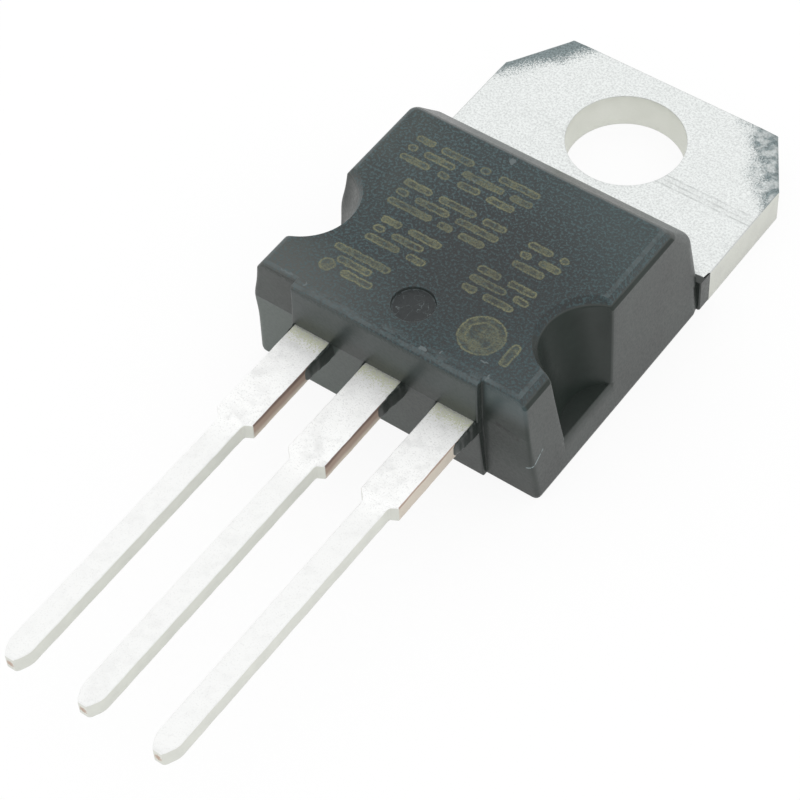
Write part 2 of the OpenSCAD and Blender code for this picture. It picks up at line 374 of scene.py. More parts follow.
class Nodes:
    """Short ways to lay out the nodes of one tree."""

    def __init__(self, tree: bpy.types.NodeTree) -> None:
        """Start on a tree.

        Args:
            tree: the node tree.
        """
        self.tree = tree

    def node(self, kind: str, **options: object) -> bpy.types.Node:
        """Add a node and set its options.

        Args:
            kind: type of node.
            options: its options.

        Returns:
            The node.
        """
        made = self.tree.nodes.new(kind)
        for key, value in options.items():
            setattr(made, key, value)
        return made

    def feed(self, socket: Socket, value: Feed) -> None:
        """Link a socket to an output, or set it to a number or colour.

        Args:
            socket: the input.
            value: what it gets.
        """
        value = value.socket if isinstance(value, Value) else value
        if isinstance(value, bpy.types.NodeSocket):
            self.tree.links.new(value, socket)
        elif isinstance(value, (int, float)):
            socket.default_value = value
        else:
            row = tuple(value)
            socket.default_value = row + (1.0,) * (len(socket.default_value) - len(row))

    def math(self, kind: str, a: Feed, b: Feed = 0.0) -> Value:
        """A Math node.

        Args:
            kind: operation, such as "MULTIPLY".
            a: first value.
            b: second value.

        Returns:
            The result.
        """
        made = self.node("ShaderNodeMath", operation=kind)
        for socket, value in zip(made.inputs, (a, b)):
            self.feed(socket, value)
        return Value(self, made.outputs[0])

    def vector(self, kind: str, a: Feed, b: Feed = (0.0, 0.0, 0.0)) -> Socket:
        """A Vector Math node.

        Args:
            kind: operation, such as "ADD".
            a: first vector.
            b: second vector.

        Returns:
            The result.
        """
        made = self.node("ShaderNodeVectorMath", operation=kind)
        for socket, value in zip(made.inputs, (a, b)):
            self.feed(socket, value)
        return made.outputs["Vector"]

    def length(self, vector: Socket) -> Value:
        """The length of a vector.

        Args:
            vector: the vector.

        Returns:
            Its length.
        """
        made = self.node("ShaderNodeVectorMath", operation="LENGTH")
        self.feed(made.inputs[0], vector)
        return Value(self, made.outputs["Value"])

    def axes(self, vector: Socket) -> tuple[Value, ...]:
        """The three coordinates of a vector.

        Args:
            vector: the vector.

        Returns:
            Its x, y and z.
        """
        made = self.node("ShaderNodeSeparateXYZ")
        self.feed(made.inputs[0], vector)
        return tuple(Value(self, output) for output in made.outputs)

    def ray(self, kind: str) -> Value:
        """1 for rays of one kind, such as "Camera", and 0 for others."""
        return Value(self, self.node("ShaderNodeLightPath").outputs[f"Is {kind} Ray"])


class Paper(Nodes):
    """A material with a Principled shader, laid out in millimetres of the object."""

    def __init__(self, name: str) -> None:
        """Start a material.

        Args:
            name: its name.
        """
        self.material = bpy.data.materials.new(name)
        self.material.use_nodes = True
        super().__init__(self.material.node_tree)
        self.shader = self.tree.nodes["Principled BSDF"]
        self.noises: dict[tuple, bpy.types.Node] = {}
        coordinates = self.node("ShaderNodeTexCoord")
        self.mm = self.vector("MULTIPLY", coordinates.outputs["Object"], (1 / MM, 1 / MM, 1 / MM))
        self.x, self.y, self.z = self.axes(self.mm)
        self.nx, self.ny, self.nz = self.axes(coordinates.outputs["Normal"])

    def set(self, name: str, value: Feed) -> None:
        """Feed one of the shader's own sockets."""
        self.feed(self.shader.inputs[name], value)

    def noise_node(self, grain_mm: float, detail: float, rough: float,
                   where: Optional[Socket]) -> bpy.types.Node:
        """A Noise Texture node on millimetre coordinates, made once for each kind of noise.

        Args:
            grain_mm: size of its largest lumps.
            detail: octaves.
            rough: weight of the finer octaves.
            where: millimetre coordinates, or None for the object's own.

        Returns:
            The node.
        """
        key = (grain_mm, detail, rough, where)
        if key in self.noises:
            return self.noises[key]
        made = self.noises[key] = self.node("ShaderNodeTexNoise")
        for name, value in (("Vector", self.mm if where is None else where), ("Scale", 1.0 / grain_mm),
                            ("Detail", detail), ("Roughness", rough)):
            self.feed(made.inputs[name], value)
        return made

    def noise(self, grain_mm: float, detail: float = 2.0, rough: float = 0.5,
              where: Optional[Socket] = None) -> Value:
        """Noise between 0 and 1.

        Args:
            grain_mm: size of its largest lumps.
            detail: octaves.
            rough: weight of the finer octaves.
            where: millimetre coordinates, or None for the object's own.

        Returns:
            The noise.
        """
        return Value(self, self.noise_node(grain_mm, detail, rough, where).outputs["Fac"])

    def mask(self, kind: Speckle, to_low: float = 0.0, to_high: float = 1.0,
             where: Optional[Socket] = None) -> Value:
        """A speckle as a mask between two numbers."""
        noise = self.noise(kind.grain_mm, kind.detail, kind.rough, where)
        return noise.between(kind.low, kind.high, to_low, to_high)

    def shaken(self, grain_mm: float, detail: float, reach: float, about: float = 0.5) -> Socket:
        """Millimetre coordinates jogged about in plan.

        Args:
            grain_mm: size of the largest jogs.
            detail: octaves.
            reach: how far a whole unit of noise moves a point.
            about: the noise that moves nothing.

        Returns:
            The coordinates.
        """
        jog = self.noise_node(grain_mm, detail, 0.5, None).outputs["Color"]
        jog = self.vector("SUBTRACT", jog, (about, about, about))
        return self.vector("ADD", self.mm, self.vector("MULTIPLY", jog, (reach, reach, 0.0)))

    def stretched(self, x: float, y: float) -> Socket:
        """Millimetre coordinates scaled across and along, which draws a noise out."""
        return self.vector("MULTIPLY", self.mm, (x, y, 1.0))

    def away(self, x: float, y: float, mirrored: bool = False) -> Value:
        """Distance in plan from a point, or from the nearest of its mirrored copies.

        Args:
            x: the point across.
            y: the point along.
            mirrored: whether it has mirrored copies.

        Returns:
            The distance.
        """
        here = self.vector("ABSOLUTE", self.mm) if mirrored else self.mm
        off = self.vector("SUBTRACT", here, (x, y, 0.0))
        return self.length(self.vector("MULTIPLY", off, (1.0, 1.0, 0.0)))

    def blend(self, amount: Feed, a: Feed, b: Feed) -> Socket:
        """A colour between a and b.

        Args:
            amount: share of b.
            a: one colour.
            b: the other colour.

        Returns:
            The colour.
        """
        made = self.node("ShaderNodeMix", data_type="RGBA")
        for key, value in (("Factor", amount), ("A", a), ("B", b)):
            self.feed(made.inputs[key], value)
        return made.outputs["Result"]

    def bump(self, height: Value, depth_mm: float, strength: Feed) -> None:
        """Feed the shader's normal with a relief.

        Args:
            height: height between 0 and 1.
            depth_mm: what a height of 1 stands for.
            strength: share of the relief that shows.
        """
        made = self.node("ShaderNodeBump")
        for key, value in (("Height", height), ("Distance", depth_mm * MM), ("Strength", strength)):
            self.feed(made.inputs[key], value)
        self.set("Normal", made.outputs["Normal"])


# ---------------------------------------------------------------------------
# Finishes. Limits whose names end in x, y, z or r are in millimetres, and r is from a centre
# ---------------------------------------------------------------------------

@dataclass(frozen=True)
class Bar:
    """A rounded bar drawn on a face: its middle, half sizes and corner radius in millimetres."""

    x: float
    y: float
    half_x: float
    half_y: float
    radius: float


@dataclass(frozen=True)
class TinPlate:
    """Pale tin plating: sandy on the tab, matt on the leads, dull or bare where it was cut."""

    paper: Paper
    tab: Colour = (0.80, 0.825, 0.815)
    lead: Colour = (0.865, 0.87, 0.862)
    sheared: Colour = (0.73, 0.74, 0.69)
    shade: Colour = (0.12, 0.15, 0.155)
    scored: Colour = (0.45, 0.47, 0.46)
    rolled: Colour = (0.42, 0.43, 0.42)
    copper: Colour = (0.42, 0.32, 0.26)
    copper_dark_reflection: Colour = (0.22, 0.155, 0.13)
    cream: Colour = (0.66, 0.60, 0.52)
    bloom: Colour = (0.66, 0.69, 0.47)
    leads_y: Band = (-12.95, -12.55)
    bloom_y: Band = (-13.25, -12.8)
    stub_y: Band = (-17.56, -16.36)
    cut_y: Band = (-16.34, -13.45)
    tip_y: Band = (-26.13, -26.10)
    lines_x: Band = (-4.5, 2.2)
    source_x: Band = (1.2, 1.4)
    wall_r: Band = (1.94, 2.0)
    spot_r: Band = (0.06, 0.15)
    dark_z: Band = (2.64, 2.76)
    cream_z: Band = (2.26, 2.5)
    source_z: Band = (2.73, 2.78)
    front_z: Band = (1.0, 1.2)
    corner: tuple[float, float] = (3.86, 2.8)
    corner_out: tuple[float, float] = (0.85, 0.527)
    corner_lift: tuple[float, float] = (1.9, 0.16)
    witness_lines: tuple[float, ...] = (-0.56, -0.76, -0.94)
    line_half: float = 0.03
    line_fade: float = 0.22
    grain: Noise = (0.07, 3.0, 0.7)
    fine: Noise = (0.045, 2.0, 0.6)
    cloud: Noise = (0.8, 3.0, 0.6)
    patch_start: Band = (-0.98, -1.15)
    patch_full: float = -0.42
    patch_sway: Band = (0.8, 1.2)
    patch_grain: float = 1.5
    mottle: Speckle = Speckle(0.3, 2.0, 0.5, 0.36, 0.64)
    gaps: Speckle = Speckle(0.4, 3.0, 0.5, 0.35, 0.6)
    blotch: Speckle = Speckle(0.5, 3.0, 0.6, 0.42, 0.68)
    halves_x: Band = (-1.0, 1.0)
    relief: float = 0.014
    lead_metal: float = 0.45

    def painted_corner_reflections(self) -> Value:
        """Painted dark reflections at the two rolled corners of the tab, broken up by the grain.

        Returns:
            The mask.
        """
        p = self.paper
        fine = p.noise(*self.fine)
        right = p.x.between(*self.halves_x)
        out = (abs(p.x) - self.corner[0]) * self.corner_out[0]
        out = out + (p.y - self.corner[1]) * self.corner_out[1]
        out = out + (p.y - self.corner_lift[0]) * self.corner_lift[1]
        edge = out + p.noise(1.1).sway(right.to(*self.patch_sway)) + fine.sway(self.patch_grain)
        mask = edge.between(right.to(*self.patch_start), self.patch_full)
        mottled = p.mask(self.mottle, 0.45)
        return mask * (1.0 - right * (1.0 - mottled)) * p.nz.between(0.2, 0.6)

    def lines(self) -> Value:
        """Faint lines that a tool left across the tab beside its hole.

        Returns:
            The mask.
        """
        p = self.paper
        y = p.y + p.noise(0.9).sway(0.05)
        total = y.inside(self.witness_lines[-1], self.witness_lines[0], 0.1) * self.line_fade
        for line in self.witness_lines:
            total = total.most(y.inside(line - self.line_half, line + self.line_half, 0.025))
        broken = p.mask(self.gaps, 0.35) * p.z.between(*self.front_z)
        return total * broken * p.x.between(*self.lines_x, 0.12, 1.0)

    def stub_side(self) -> Socket:
        """Bare copper of the cut tie bars, with a painted dark reflection along the top, paler below, and
        palest on the source lead.

        Returns:
            The colour.
        """
        p = self.paper
        z = p.z + p.noise(0.5, 2.0, 0.5, p.stretched(1.0, 0.35)).sway(0.22)
        # Painted reflection: the top band of each cut side is painted dark brown
        brown = p.blend(z.between(*self.dark_z), self.copper, self.copper_dark_reflection)
        brown = p.blend(z.between(*self.cream_z), self.cream, brown)
        pale = p.blend(z.between(*self.source_z), self.cream, self.copper)
        return p.blend(p.x.between(*self.source_x), brown, pale)

    def tip_spot(self) -> Value:
        """Where bare copper shows in the middle of each lead's end.

        Returns:
            The mask.
        """
        p = self.paper
        fine = p.noise(*self.fine)
        across = p.math("PINGPONG", p.x + SIZE.pitch * 4, SIZE.pitch / 2)
        lead_x = across.least(SIZE.pitch / 2 - across)
        spot = (lead_x ** 2.0 + (p.z - SIZE.lead_mid) ** 2.0) ** 0.5
        return (spot + fine.sway(0.25)).below(*self.spot_r) * p.y.below(*self.tip_y)

    def tab_colour(self) -> Socket:
        """Sandy tin with the tool's lines, painted dark reflections on the rolled edges and at the corners.

        Returns:
            The colour.
        """
        p = self.paper
        grain = p.noise(*self.grain)
        fine = p.noise(*self.fine)
        sand = grain.between(0.34, 0.62)
        colour = p.blend(sand, dim(self.tab, 0.84), dim(self.tab, 1.08))
        colour = p.blend(fine.between(0.6, 0.7, 0.0, 0.45), colour, dim(self.tab, 0.62))
        colour = p.blend(self.lines() * 0.55, colour, self.scored)
        # Painted reflection: the rolled edges are painted darker the more they turn over
        colour = p.blend(p.nz.between(0.9, 0.985, 0.5, 0.0), colour, self.rolled)
        # Painted reflection: dark blue-grey where the cut corners reflect a dark horizon
        dark = p.blend(sand, self.shade, dim(self.shade, 1.9))
        return p.blend(self.painted_corner_reflections() * 0.95, colour, dark)

    def lead_colour(self) -> Socket:
        """Matt tin with grey smudges, speckled on the wide stubs.

        Returns:
            The colour.
        """
        p = self.paper
        fine = p.noise(*self.fine)
        cloud = p.noise(*self.cloud)
        stub = p.y.between(*self.stub_y)
        smudge = p.mask(self.blotch) * cloud.between(0.4, 0.62, 0.3, 0.9)
        colour = p.blend(stub, self.lead, dim(self.lead, 1.075))
        colour = p.blend(smudge * stub.to(0.45, 0.8), colour, dim(self.lead, 0.88))
        return p.blend(fine.between(0.54, 0.68) * stub.to(0.25, 0.5), colour, dim(self.lead, 0.72))

    def build(self) -> bpy.types.Material:
        """Lay out the material.

        Returns:
            The material.
        """
        p = self.paper
        grain, fine, cloud = p.noise(*self.grain), p.noise(*self.fine), p.noise(*self.cloud)
        on_lead = p.y.below(*self.leads_y)
        flat = abs(p.nz).between(0.15, 0.5)
        colour = p.blend(on_lead, self.tab_colour(), self.lead_colour())
        # A bloom of green-grey grains where the leads leave the moulding
        near = (p.y + fine.sway(1.7)).between(*self.bloom_y) * on_lead
        grains = p.blend(fine.between(0.38, 0.5), dim(self.bloom, 0.3), self.bloom)
        colour = p.blend(near * 0.8, colour, grains)
        dull = p.blend(cloud.between(0.3, 0.7), dim(self.sheared, 0.93), self.sheared)
        dull = p.blend(p.away(0.0, 0.0).below(*self.wall_r), dull, dim(self.sheared, 1.12))
        colour = p.blend(flat, dull, colour)
        cut = p.nx.between(0.45, 0.75).most(p.nx.below(-0.999, -0.98))
        colour = p.blend(p.y.inside(*self.cut_y, 0.04) * cut, colour, self.stub_side())
        p.set("Base Color", p.blend(self.tip_spot(), colour, dim(self.copper, 1.2)))
        p.set("Metallic", on_lead.to(1.0, self.lead_metal))
        p.set("Roughness", cloud.between(0.3, 0.7, 0.34, 0.44) + (1.0 - flat) * 0.15 + on_lead * 0.12)
        p.bump(grain, self.relief, on_lead.to(1.0, 0.45))
        return p.material


@dataclass(frozen=True)
class MouldedEpoxy:
    """Dark filled epoxy: a spark-eroded front with plain laser bars, and smoother sides."""

    paper: Paper
    front: Colour = (0.0008, 0.0125, 0.0155)
    side: Colour = (0.0190, 0.0255, 0.0222)
    dusk: Colour = (0.036, 0.056, 0.058)
    pale_corner_grey: Colour = (0.056, 0.062, 0.058)
    speck: Colour = (0.038, 0.074, 0.080)
    scuff_and_sheen: Colour = (0.085, 0.108, 0.112)
    laser: Colour = (0.145, 0.148, 0.070)
    middle: tuple[float, float] = (0.8, -8.8)
    middle_r: Band = (1.2, 4.2)
    mark_r: Band = (0.66, 0.7)
    mark_z: Band = (4.45, 4.49)
    front_z: Band = (4.21, 4.28)
    laser_z: Band = (4.49, 4.496)
    scratch_z: Band = (4.4, 4.45)
    end_y: Band = (-12.1, -11.9)
    foot_x: Band = (3.25, 3.4)
    foot_y: Band = (-12.42, -12.3)
    foot_z: Band = (3.1, 3.9)
    rim_y: Band = (-12.6, -12.15)
    rim_z: Band = (4.4, 4.47)
    turn_z: Band = (4.22, 4.36)
    slant_z: Band = (4.03, 4.21)
    notch: tuple[float, float] = (5.71, 9.64)
    notch_r: Band = (2.35, 2.5)
    notch_z: Band = (1.25, 4.22)
    draft: float = 0.0857
    side_x: Band = (5.0137, 5.0437)
    high_x: Band = (-1.0, 3.5)
    high_y: Band = (-9.0, -5.6)
    grey_x: Band = (-4.6, -1.8)
    blue_x: Band = (1.0, 4.0)
    blue_y: Band = (-12.4, -9.5)
    low_x: Band = (-3.6, 1.0)
    low_y: Band = (-12.4, -10.2)
    speck_x: Band = (-3.5, 2.5)
    speck_y: Band = (-9.5, -5.5)
    pale_x: Band = (-4.5, 3.0)
    seam_x: Band = (3.1, 3.4)
    block_y: Band = (-12.66, -12.6)
    block_z: Band = (3.0, 3.7)
    foot_top_z: Band = (3.1, 4.1)
    smudge_line: tuple[float, float] = (4.1, 0.28)
    smudge_z: Band = (2.68, 2.88)
    smudge_x: Band = (3.72, 4.5)
    scratch_line: tuple[float, float] = (0.64, 6.36)
    scratch_span: Band = (-7.7, -6.95)
    scratch_half: float = 0.025
    corner_x: Band = (4.4, 4.6)
    grain: Noise = (0.085, 3.0, 0.65)
    fine: Noise = (0.05, 2.0, 0.6)
    cloud: Noise = (1.6, 3.0, 0.55)
    patchy: Speckle = Speckle(0.45, 2.0, 0.6, 0.42, 0.62)
    thin: Speckle = Speckle(1.1, 2.0, 0.5, 0.3, 0.7)
    smear: Speckle = Speckle(0.25, 3.0, 0.6, 0.35, 0.55)
    gaps: Speckle = Speckle(0.12, 2.0, 0.5, 0.38, 0.5)
    streaks: Speckle = Speckle(0.2, 3.0, 0.7, 0.4, 0.62)
    edge_highlight_breakup: Speckle = Speckle(0.5, 3.0, 0.6, 0.3, 0.6)
    relief: float = 0.02
    ior: float = 1.58
    bar_rows: tuple[tuple[float, tuple[Band, ...]], ...] = (
        (-5.95, ((-3.62, -2.95), (-2.70, -1.55), (-1.30, -0.95), (-0.65, 0.80))),
        (-6.38, ((-3.62, -3.30), (-3.05, -1.95), (-1.65, -0.20), (0.05, 0.80))),
        (-6.80, ((-3.62, -2.55), (-2.25, -1.85), (-1.55, -0.75), (-0.50, 0.45))),
        (-7.58, ((-2.90, -1.90), (-1.65, -0.35), (-0.10, 0.72), (1.50, 2.35), (2.60, 2.90))),
        (-8.00, ((-2.90, -2.45), (-2.20, -1.00), (-0.75, 0.72), (1.50, 1.90), (2.15, 2.90))),
        (-8.42, ((-2.90, -1.35), (-1.10, -0.60), (-0.35, 0.50), (1.50, 2.60))),
        (-9.12, ((-2.60, -1.90), (-1.65, -0.50), (0.80, 1.60), (1.85, 2.82))),
        (-9.52, ((-2.60, -2.20), (-1.95, -0.85), (0.80, 2.05), (2.30, 2.82))),
        (-9.92, ((-2.60, -1.40), (-1.15, -0.50), (0.80, 1.30), (1.55, 2.55))),
        (-10.70, ((-3.10, -1.15),)),
        (-11.08, ((-2.75, -1.55),)),
        (-11.46, ((-2.35, -1.25),)))
    bar_half: float = 0.135
    discs: tuple[Bar, ...] = (Bar(2.35, -11.15, 0.72, 0.72, 0.72), Bar(-2.85, -11.45, 0.25, 0.25, 0.25),
                              Bar(3.42, -11.3, 0.16, 0.45, 0.16))
    scratches: tuple[Bar, ...] = (
        Bar(2.95, -11.88, 0.13, 0.02, 0.02), Bar(1.25, -12.46, 0.12, 0.05, 0.05),
        Bar(1.75, -12.28, 0.02, 0.06, 0.02), Bar(-1.22, -6.45, 0.03, 0.03, 0.03),
        Bar(-0.68, -5.20, 0.10, 0.13, 0.1), Bar(3.35, -12.28, 0.02, 0.13, 0.02),
        Bar(-3.62, -12.33, 0.2, 0.02, 0.02), Bar(-2.9, -12.4, 0.02, 0.09, 0.02))

    def nearest(self, bars: Sequence[Bar], here: Socket) -> Value:
        """Signed distance in plan to the nearest of some bars, below 0 inside them.

        Args:
            bars: the bars.
            here: millimetre coordinates.

        Returns:
            The distance.
        """
        p = self.paper
        gaps = []
        for bar in bars:
            off = p.vector("ABSOLUTE", p.vector("SUBTRACT", here, (bar.x, bar.y, 0.0)))
            core = (bar.half_x - bar.radius, bar.half_y - bar.radius, 99.0)
            out = p.vector("MAXIMUM", p.vector("SUBTRACT", off, core))
            gaps.append(p.length(out) - bar.radius)
        return reduce(Value.least, gaps)

    def marking(self) -> Value:
        """How strongly the laser covers each place of the front face.

        Every bar has a drawn rim and a patchy field inside, and the grain breaks both up.

        Returns:
            The mask.
        """
        p = self.paper
        fine = p.noise(*self.fine)
        bars = [Bar((a + b) / 2, y, (b - a) / 2, self.bar_half, self.bar_half)
                for y, spans in self.bar_rows for a, b in spans]
        gap = self.nearest([*bars, *self.discs], p.shaken(0.2, 2.0, 0.1))
        field_ = gap.below(-0.07, -0.03) * p.mask(self.patchy, 0.15, 0.8)
        cover = gap.inside(-0.065, 0.0, 0.03).most(gap.inside(-0.3, -0.22, 0.04) * 0.85).most(field_)
        cover = cover * fine.between(0.34, 0.58, 0.25, 1.0) * p.mask(self.thin, 0.6)
        return cover * p.z.between(*self.laser_z)

    def pit(self) -> Socket:
        """Colour inside the ejector's mark: dark, with pale swirls.

        Returns:
            The colour.
        """
        p = self.paper
        fine = p.noise(*self.fine)
        swirl = p.noise(0.3, 1.0, 0.4, p.shaken(0.5, 2.0, 0.9, 0.0)).inside(0.5, 0.515, 0.018)
        return p.blend(swirl * fine.between(0.35, 0.6), dim(self.front, 0.4), self.scuff_and_sheen)

    def front_colour(self) -> Socket:
        """Dark teal front with a light grain, greyer at the left and bluer at the lower right.

        Returns:
            The colour.
        """
        p = self.paper
        grain = p.noise(*self.grain)
        fine = p.noise(*self.fine)
        cloud = p.noise(*self.cloud)
        colour = p.blend(grain.between(0.38, 0.64), dim(self.front, 0.2), dim(self.front, 2.6))
        colour = p.blend(fine.between(0.58, 0.7, 0.0, 0.6), colour, self.speck)
        high = p.y.between(*self.high_y) * p.x.between(*self.high_x, 0.15, 0.45)
        grey = p.x.between(*self.grey_x, 0.75, 0.12) * cloud.between(0.35, 0.6, 0.4, 1.0)
        blue = p.x.between(*self.blue_x) * p.y.below(*self.blue_y) * 0.3
        centre = p.away(*self.middle).between(*self.middle_r, 0.65, 0.0)
        # Lighter grey towards the lead end on the -X side
        low = p.y.between(*self.low_y, 0.8, 0.0) * p.x.below(*self.low_x)
        # Pale specks, thickest towards the tab and the -X side
        many = p.x.between(*self.speck_x, 0.3, 0.0) + p.y.between(*self.speck_y, 0.0, 0.5)
        many = (many + 0.42) * grain.between(0.51, 0.6)
        for amount, tint in ((high, self.dusk), (grey, dim(self.side, 1.5)), (blue, dim(self.scuff_and_sheen, 0.45)),
                             (centre, dim(self.front, 0.15)), (low, self.pale_corner_grey), (many, self.speck)):
            colour = p.blend(amount, colour, tint)
        mark = p.z.below(*self.mark_z) * p.away(*SIZE.mark).below(*self.mark_r)
        colour = p.blend(mark, colour, self.pit())
        return p.blend(self.marking(), colour, self.laser)

    def wall_colour(self) -> Socket:
        """Smooth sides; below its dark, jagged parting line the lead end is painted paler as a painted
        floor reflection, and its upper block and +X foot are painted lighter as painted light.

        Returns:
            The colour.
        """
        p = self.paper
        cloud = p.noise(*self.cloud)
        wall = p.blend(cloud.between(0.3, 0.7), dim(self.side, 0.8), dim(self.side, 1.2))
        at_end = p.ny.below(-0.7, -0.4) * p.y.below(*self.end_y)
        off = p.z + p.noise(0.5, 3.0).sway(0.08) - SIZE.parting_z
        below = off.below(-0.03, 0.01) * at_end * p.x.below(*self.pale_x)
        # Painted reflection: the lead end below the parting line is painted paler, standing in for the
        # bright floor it reflects
        wall = p.blend(below, wall, dim(self.side, 2.9))
        seam = off.inside(-0.03, 0.015, 0.02) * at_end * p.x.between(*self.seam_x, 0.85, 0.2)
        wall = p.blend(seam, wall, dim(self.side, 0.25))
        # Painted light: the upper block wall and the top of the +X foot are painted lighter to offset their
        # shade
        block = p.y.between(*self.block_y, 0.3, 0.0) * p.z.between(*self.block_z)
        upper = block.most(self.right_foot() * p.z.between(*self.foot_top_z))
        return p.blend(upper, wall, self.dusk)

    def right_foot(self) -> Value:
        """Where the lead end's foot on the +X side is."""
        p = self.paper
        return p.x.between(*self.foot_x) * p.y.below(*self.foot_y)

    def smudge(self) -> Value:
        """A dark smudge on the lead end's foot on the +X side.

        Returns:
            The mask.
        """
        p = self.paper
        height = (p.x - self.smudge_line[0]) * self.smudge_line[1] + p.z
        dark = height.inside(*self.smudge_z, 0.08) * p.x.inside(*self.smudge_x, 0.1)
        return dark * p.mask(self.smear) * self.right_foot()

    def corner_scratch(self) -> Value:
        """A pale scratch that climbs round the +X corner of the lead end.

        Returns:
            The mask.
        """
        p = self.paper
        around = p.x + p.y
        off = p.z - around * self.scratch_line[0] - self.scratch_line[1]
        pale = off.inside(-self.scratch_half, self.scratch_half, 0.02) * p.mask(self.gaps)
        return pale * around.inside(*self.scratch_span, 0.05) * p.x.between(*self.corner_x)

    def worn_and_edge_highlight(self) -> Value:
        """Pale scuffs along the front's edges, strongest at the lead end, a painted highlight along the
        rounded edge where the front turns down, and a few scratches.

        Returns:
            The mask.
        """
        p = self.paper
        streak = p.mask(self.streaks, where=p.stretched(0.4, 1.0))
        rim = p.y.between(*self.rim_y, 0.75, 0.0) * p.z.between(*self.rim_z)
        # Painted highlight: a pale band on the rounded edge where the front turns down, picked out by its
        # tilt and broken up by noise
        turn = p.nz.inside(0.7, 0.985, 0.02) * p.z.between(*self.turn_z) * p.mask(self.edge_highlight_breakup, 0.25, 0.8)
        scratch = self.nearest(self.scratches, p.shaken(0.12, 1.0, 0.16)).below(-0.02, 0.012)
        scratch = scratch * p.z.between(*self.scratch_z)
        return ((rim * streak).most(turn) * 0.65).most(scratch * 2.0)

    def dullness(self) -> Value:
        """Where the lower bevel, the rolled edges, a foot and the scallops shine less.

        Returns:
            The mask.
        """
        p = self.paper
        slant = p.nz.inside(0.2, 0.8, 0.06) * p.ny.below(0.1, 0.3) * p.z.inside(*self.slant_z, 0.06)
        scallop = p.away(*self.notch, mirrored=True).below(*self.notch_r) * p.z.inside(*self.notch_z, 0.12)
        scallop = scallop * (abs(p.x) + p.z * self.draft).below(*self.side_x)
        foot = self.right_foot() * p.z.between(*self.foot_z, 0.8, 0.0)
        return slant.most(foot).most(scallop * abs(p.nx).between(0.6, 0.95, 0.75, 1.3))

    def build(self) -> bpy.types.Material:
        """Lay out the material.

        Returns:
            The material.
        """
        p = self.paper
        grain = p.noise(*self.grain)
        on_front = p.z.between(*self.front_z)
        level = (p.nz.between(0.25, 0.42) * p.ny.below(0.2, 0.45)).most(p.nz.between(0.86, 0.97))
        colour = p.blend(on_front * level, self.wall_colour(), self.front_colour())
        colour = p.blend(self.smudge() * 0.9, colour, dim(self.side, 0.2))
        colour = p.blend(self.corner_scratch(), colour, dim(self.scuff_and_sheen, 2.5))
        # Pale scuffs and scratches, with a painted highlight on the rounded front edge
        p.set("Base Color", p.blend(self.worn_and_edge_highlight(), colour, self.scuff_and_sheen))
        p.set("Roughness", grain.between(0.3, 0.7, 0.4, 0.54) - (1.0 - on_front) * 0.12)
        p.set("IOR", self.ior)
        p.set("Specular IOR Level", self.dullness().between(0.0, 1.6, 0.5, 0.05))
        p.bump(grain, self.relief, on_front.to(0.15, 1.0))
        return p.material


@dataclass(frozen=True)
class PlainMetal:
    """Plain metal or silicon for the sealed inner pieces."""

    name: str
    colour: Colour
    roughness: float
    metallic: float = 1.0

    def build(self) -> bpy.types.Material:
        """Lay out the material.

        Returns:
            The material.
        """
        p = Paper(self.name)
        p.set("Base Color", p.blend(p.noise(0.3, 3.0), dim(self.colour, 0.9), self.colour))
        p.set("Metallic", self.metallic)
        p.set("Roughness", self.roughness)
        return p.material


def dress(piece: bpy.types.Object, finish: bpy.types.Material, slot: Slot, *nodes: str) -> None:
    """Give a piece its material, its body and the solids that it stands for.

    Args:
        piece: the object.
        finish: its material.
        slot: material slot of the record; not used.
        nodes: solids that the piece replaces.
    """
    piece.data.materials.append(finish)
    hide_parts(*nodes)
    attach(piece, Body.ROOT.value)


# ---------------------------------------------------------------------------
# The moulding
# ---------------------------------------------------------------------------

@dataclass
class Flash:
    """A thin epoxy flash that runs out along the side of a lead and tapers."""

    length: float = 1.15
    left_share: float = 0.5
    root_t: float = 0.08
    taper_t: float = 0.045
    top_z: tuple[float, float] = (2.80, 2.86)
    top_drop: float = 0.07
    low_z: float = 2.20
    low_rise: float = 0.10
    buried: float = 0.25
    overlap: float = 0.035
    round_from: float = 0.9
    square: float = 0.6
    levels: int = 40
    points: int = 20

    def rings(self, start_y: float, side_x: float, sign: int, share: float, seed: int) -> Array:
        """Rings of one flash, each a squarish superellipse with wavering edges.

        Args:
            start_y: the block's face, where it comes out.
            side_x: where the lead's side is.
            sign: 1 on the +X side of the lead and -1 on the other.
            share: share of the full length.
            seed: picks the unevenness.

        Returns:
            Levels by points by 3.
        """
        s = np.linspace(0, 1, self.levels)
        length = self.length * share * (1.0 if sign > 0 else self.left_share)
        y = start_y + self.buried - (length + self.buried) * s
        past = np.clip((s - self.round_from) / (1 - self.round_from), 0, 1)
        end = np.sqrt(np.clip(1 - past ** 2, 0.02, 1))
        half_t = (self.root_t - self.taper_t * s) * (1 + 0.15 * wobble(s, seed, 4, 1.0)) * end
        top = self.top_z[sign > 0] - self.top_drop * s ** 2 + 0.02 * wobble(s, seed + 1, 6, 3.0)
        low = self.low_z + self.low_rise * s + 0.03 * wobble(s, seed + 2, 4, 2.0)
        angle = np.arange(self.points) / self.points * 2 * np.pi
        across, up = (np.sign(v) * np.abs(v) ** self.square for v in (np.cos(angle), np.sin(angle)))
        x = side_x + (sign * (half_t - self.overlap))[:, None] + half_t[:, None] * across
        z = ((top + low) / 2)[:, None] + ((top - low) / 2 * end)[:, None] * up
        return np.stack([x, np.broadcast_to(y[:, None], x.shape), z], axis=-1)


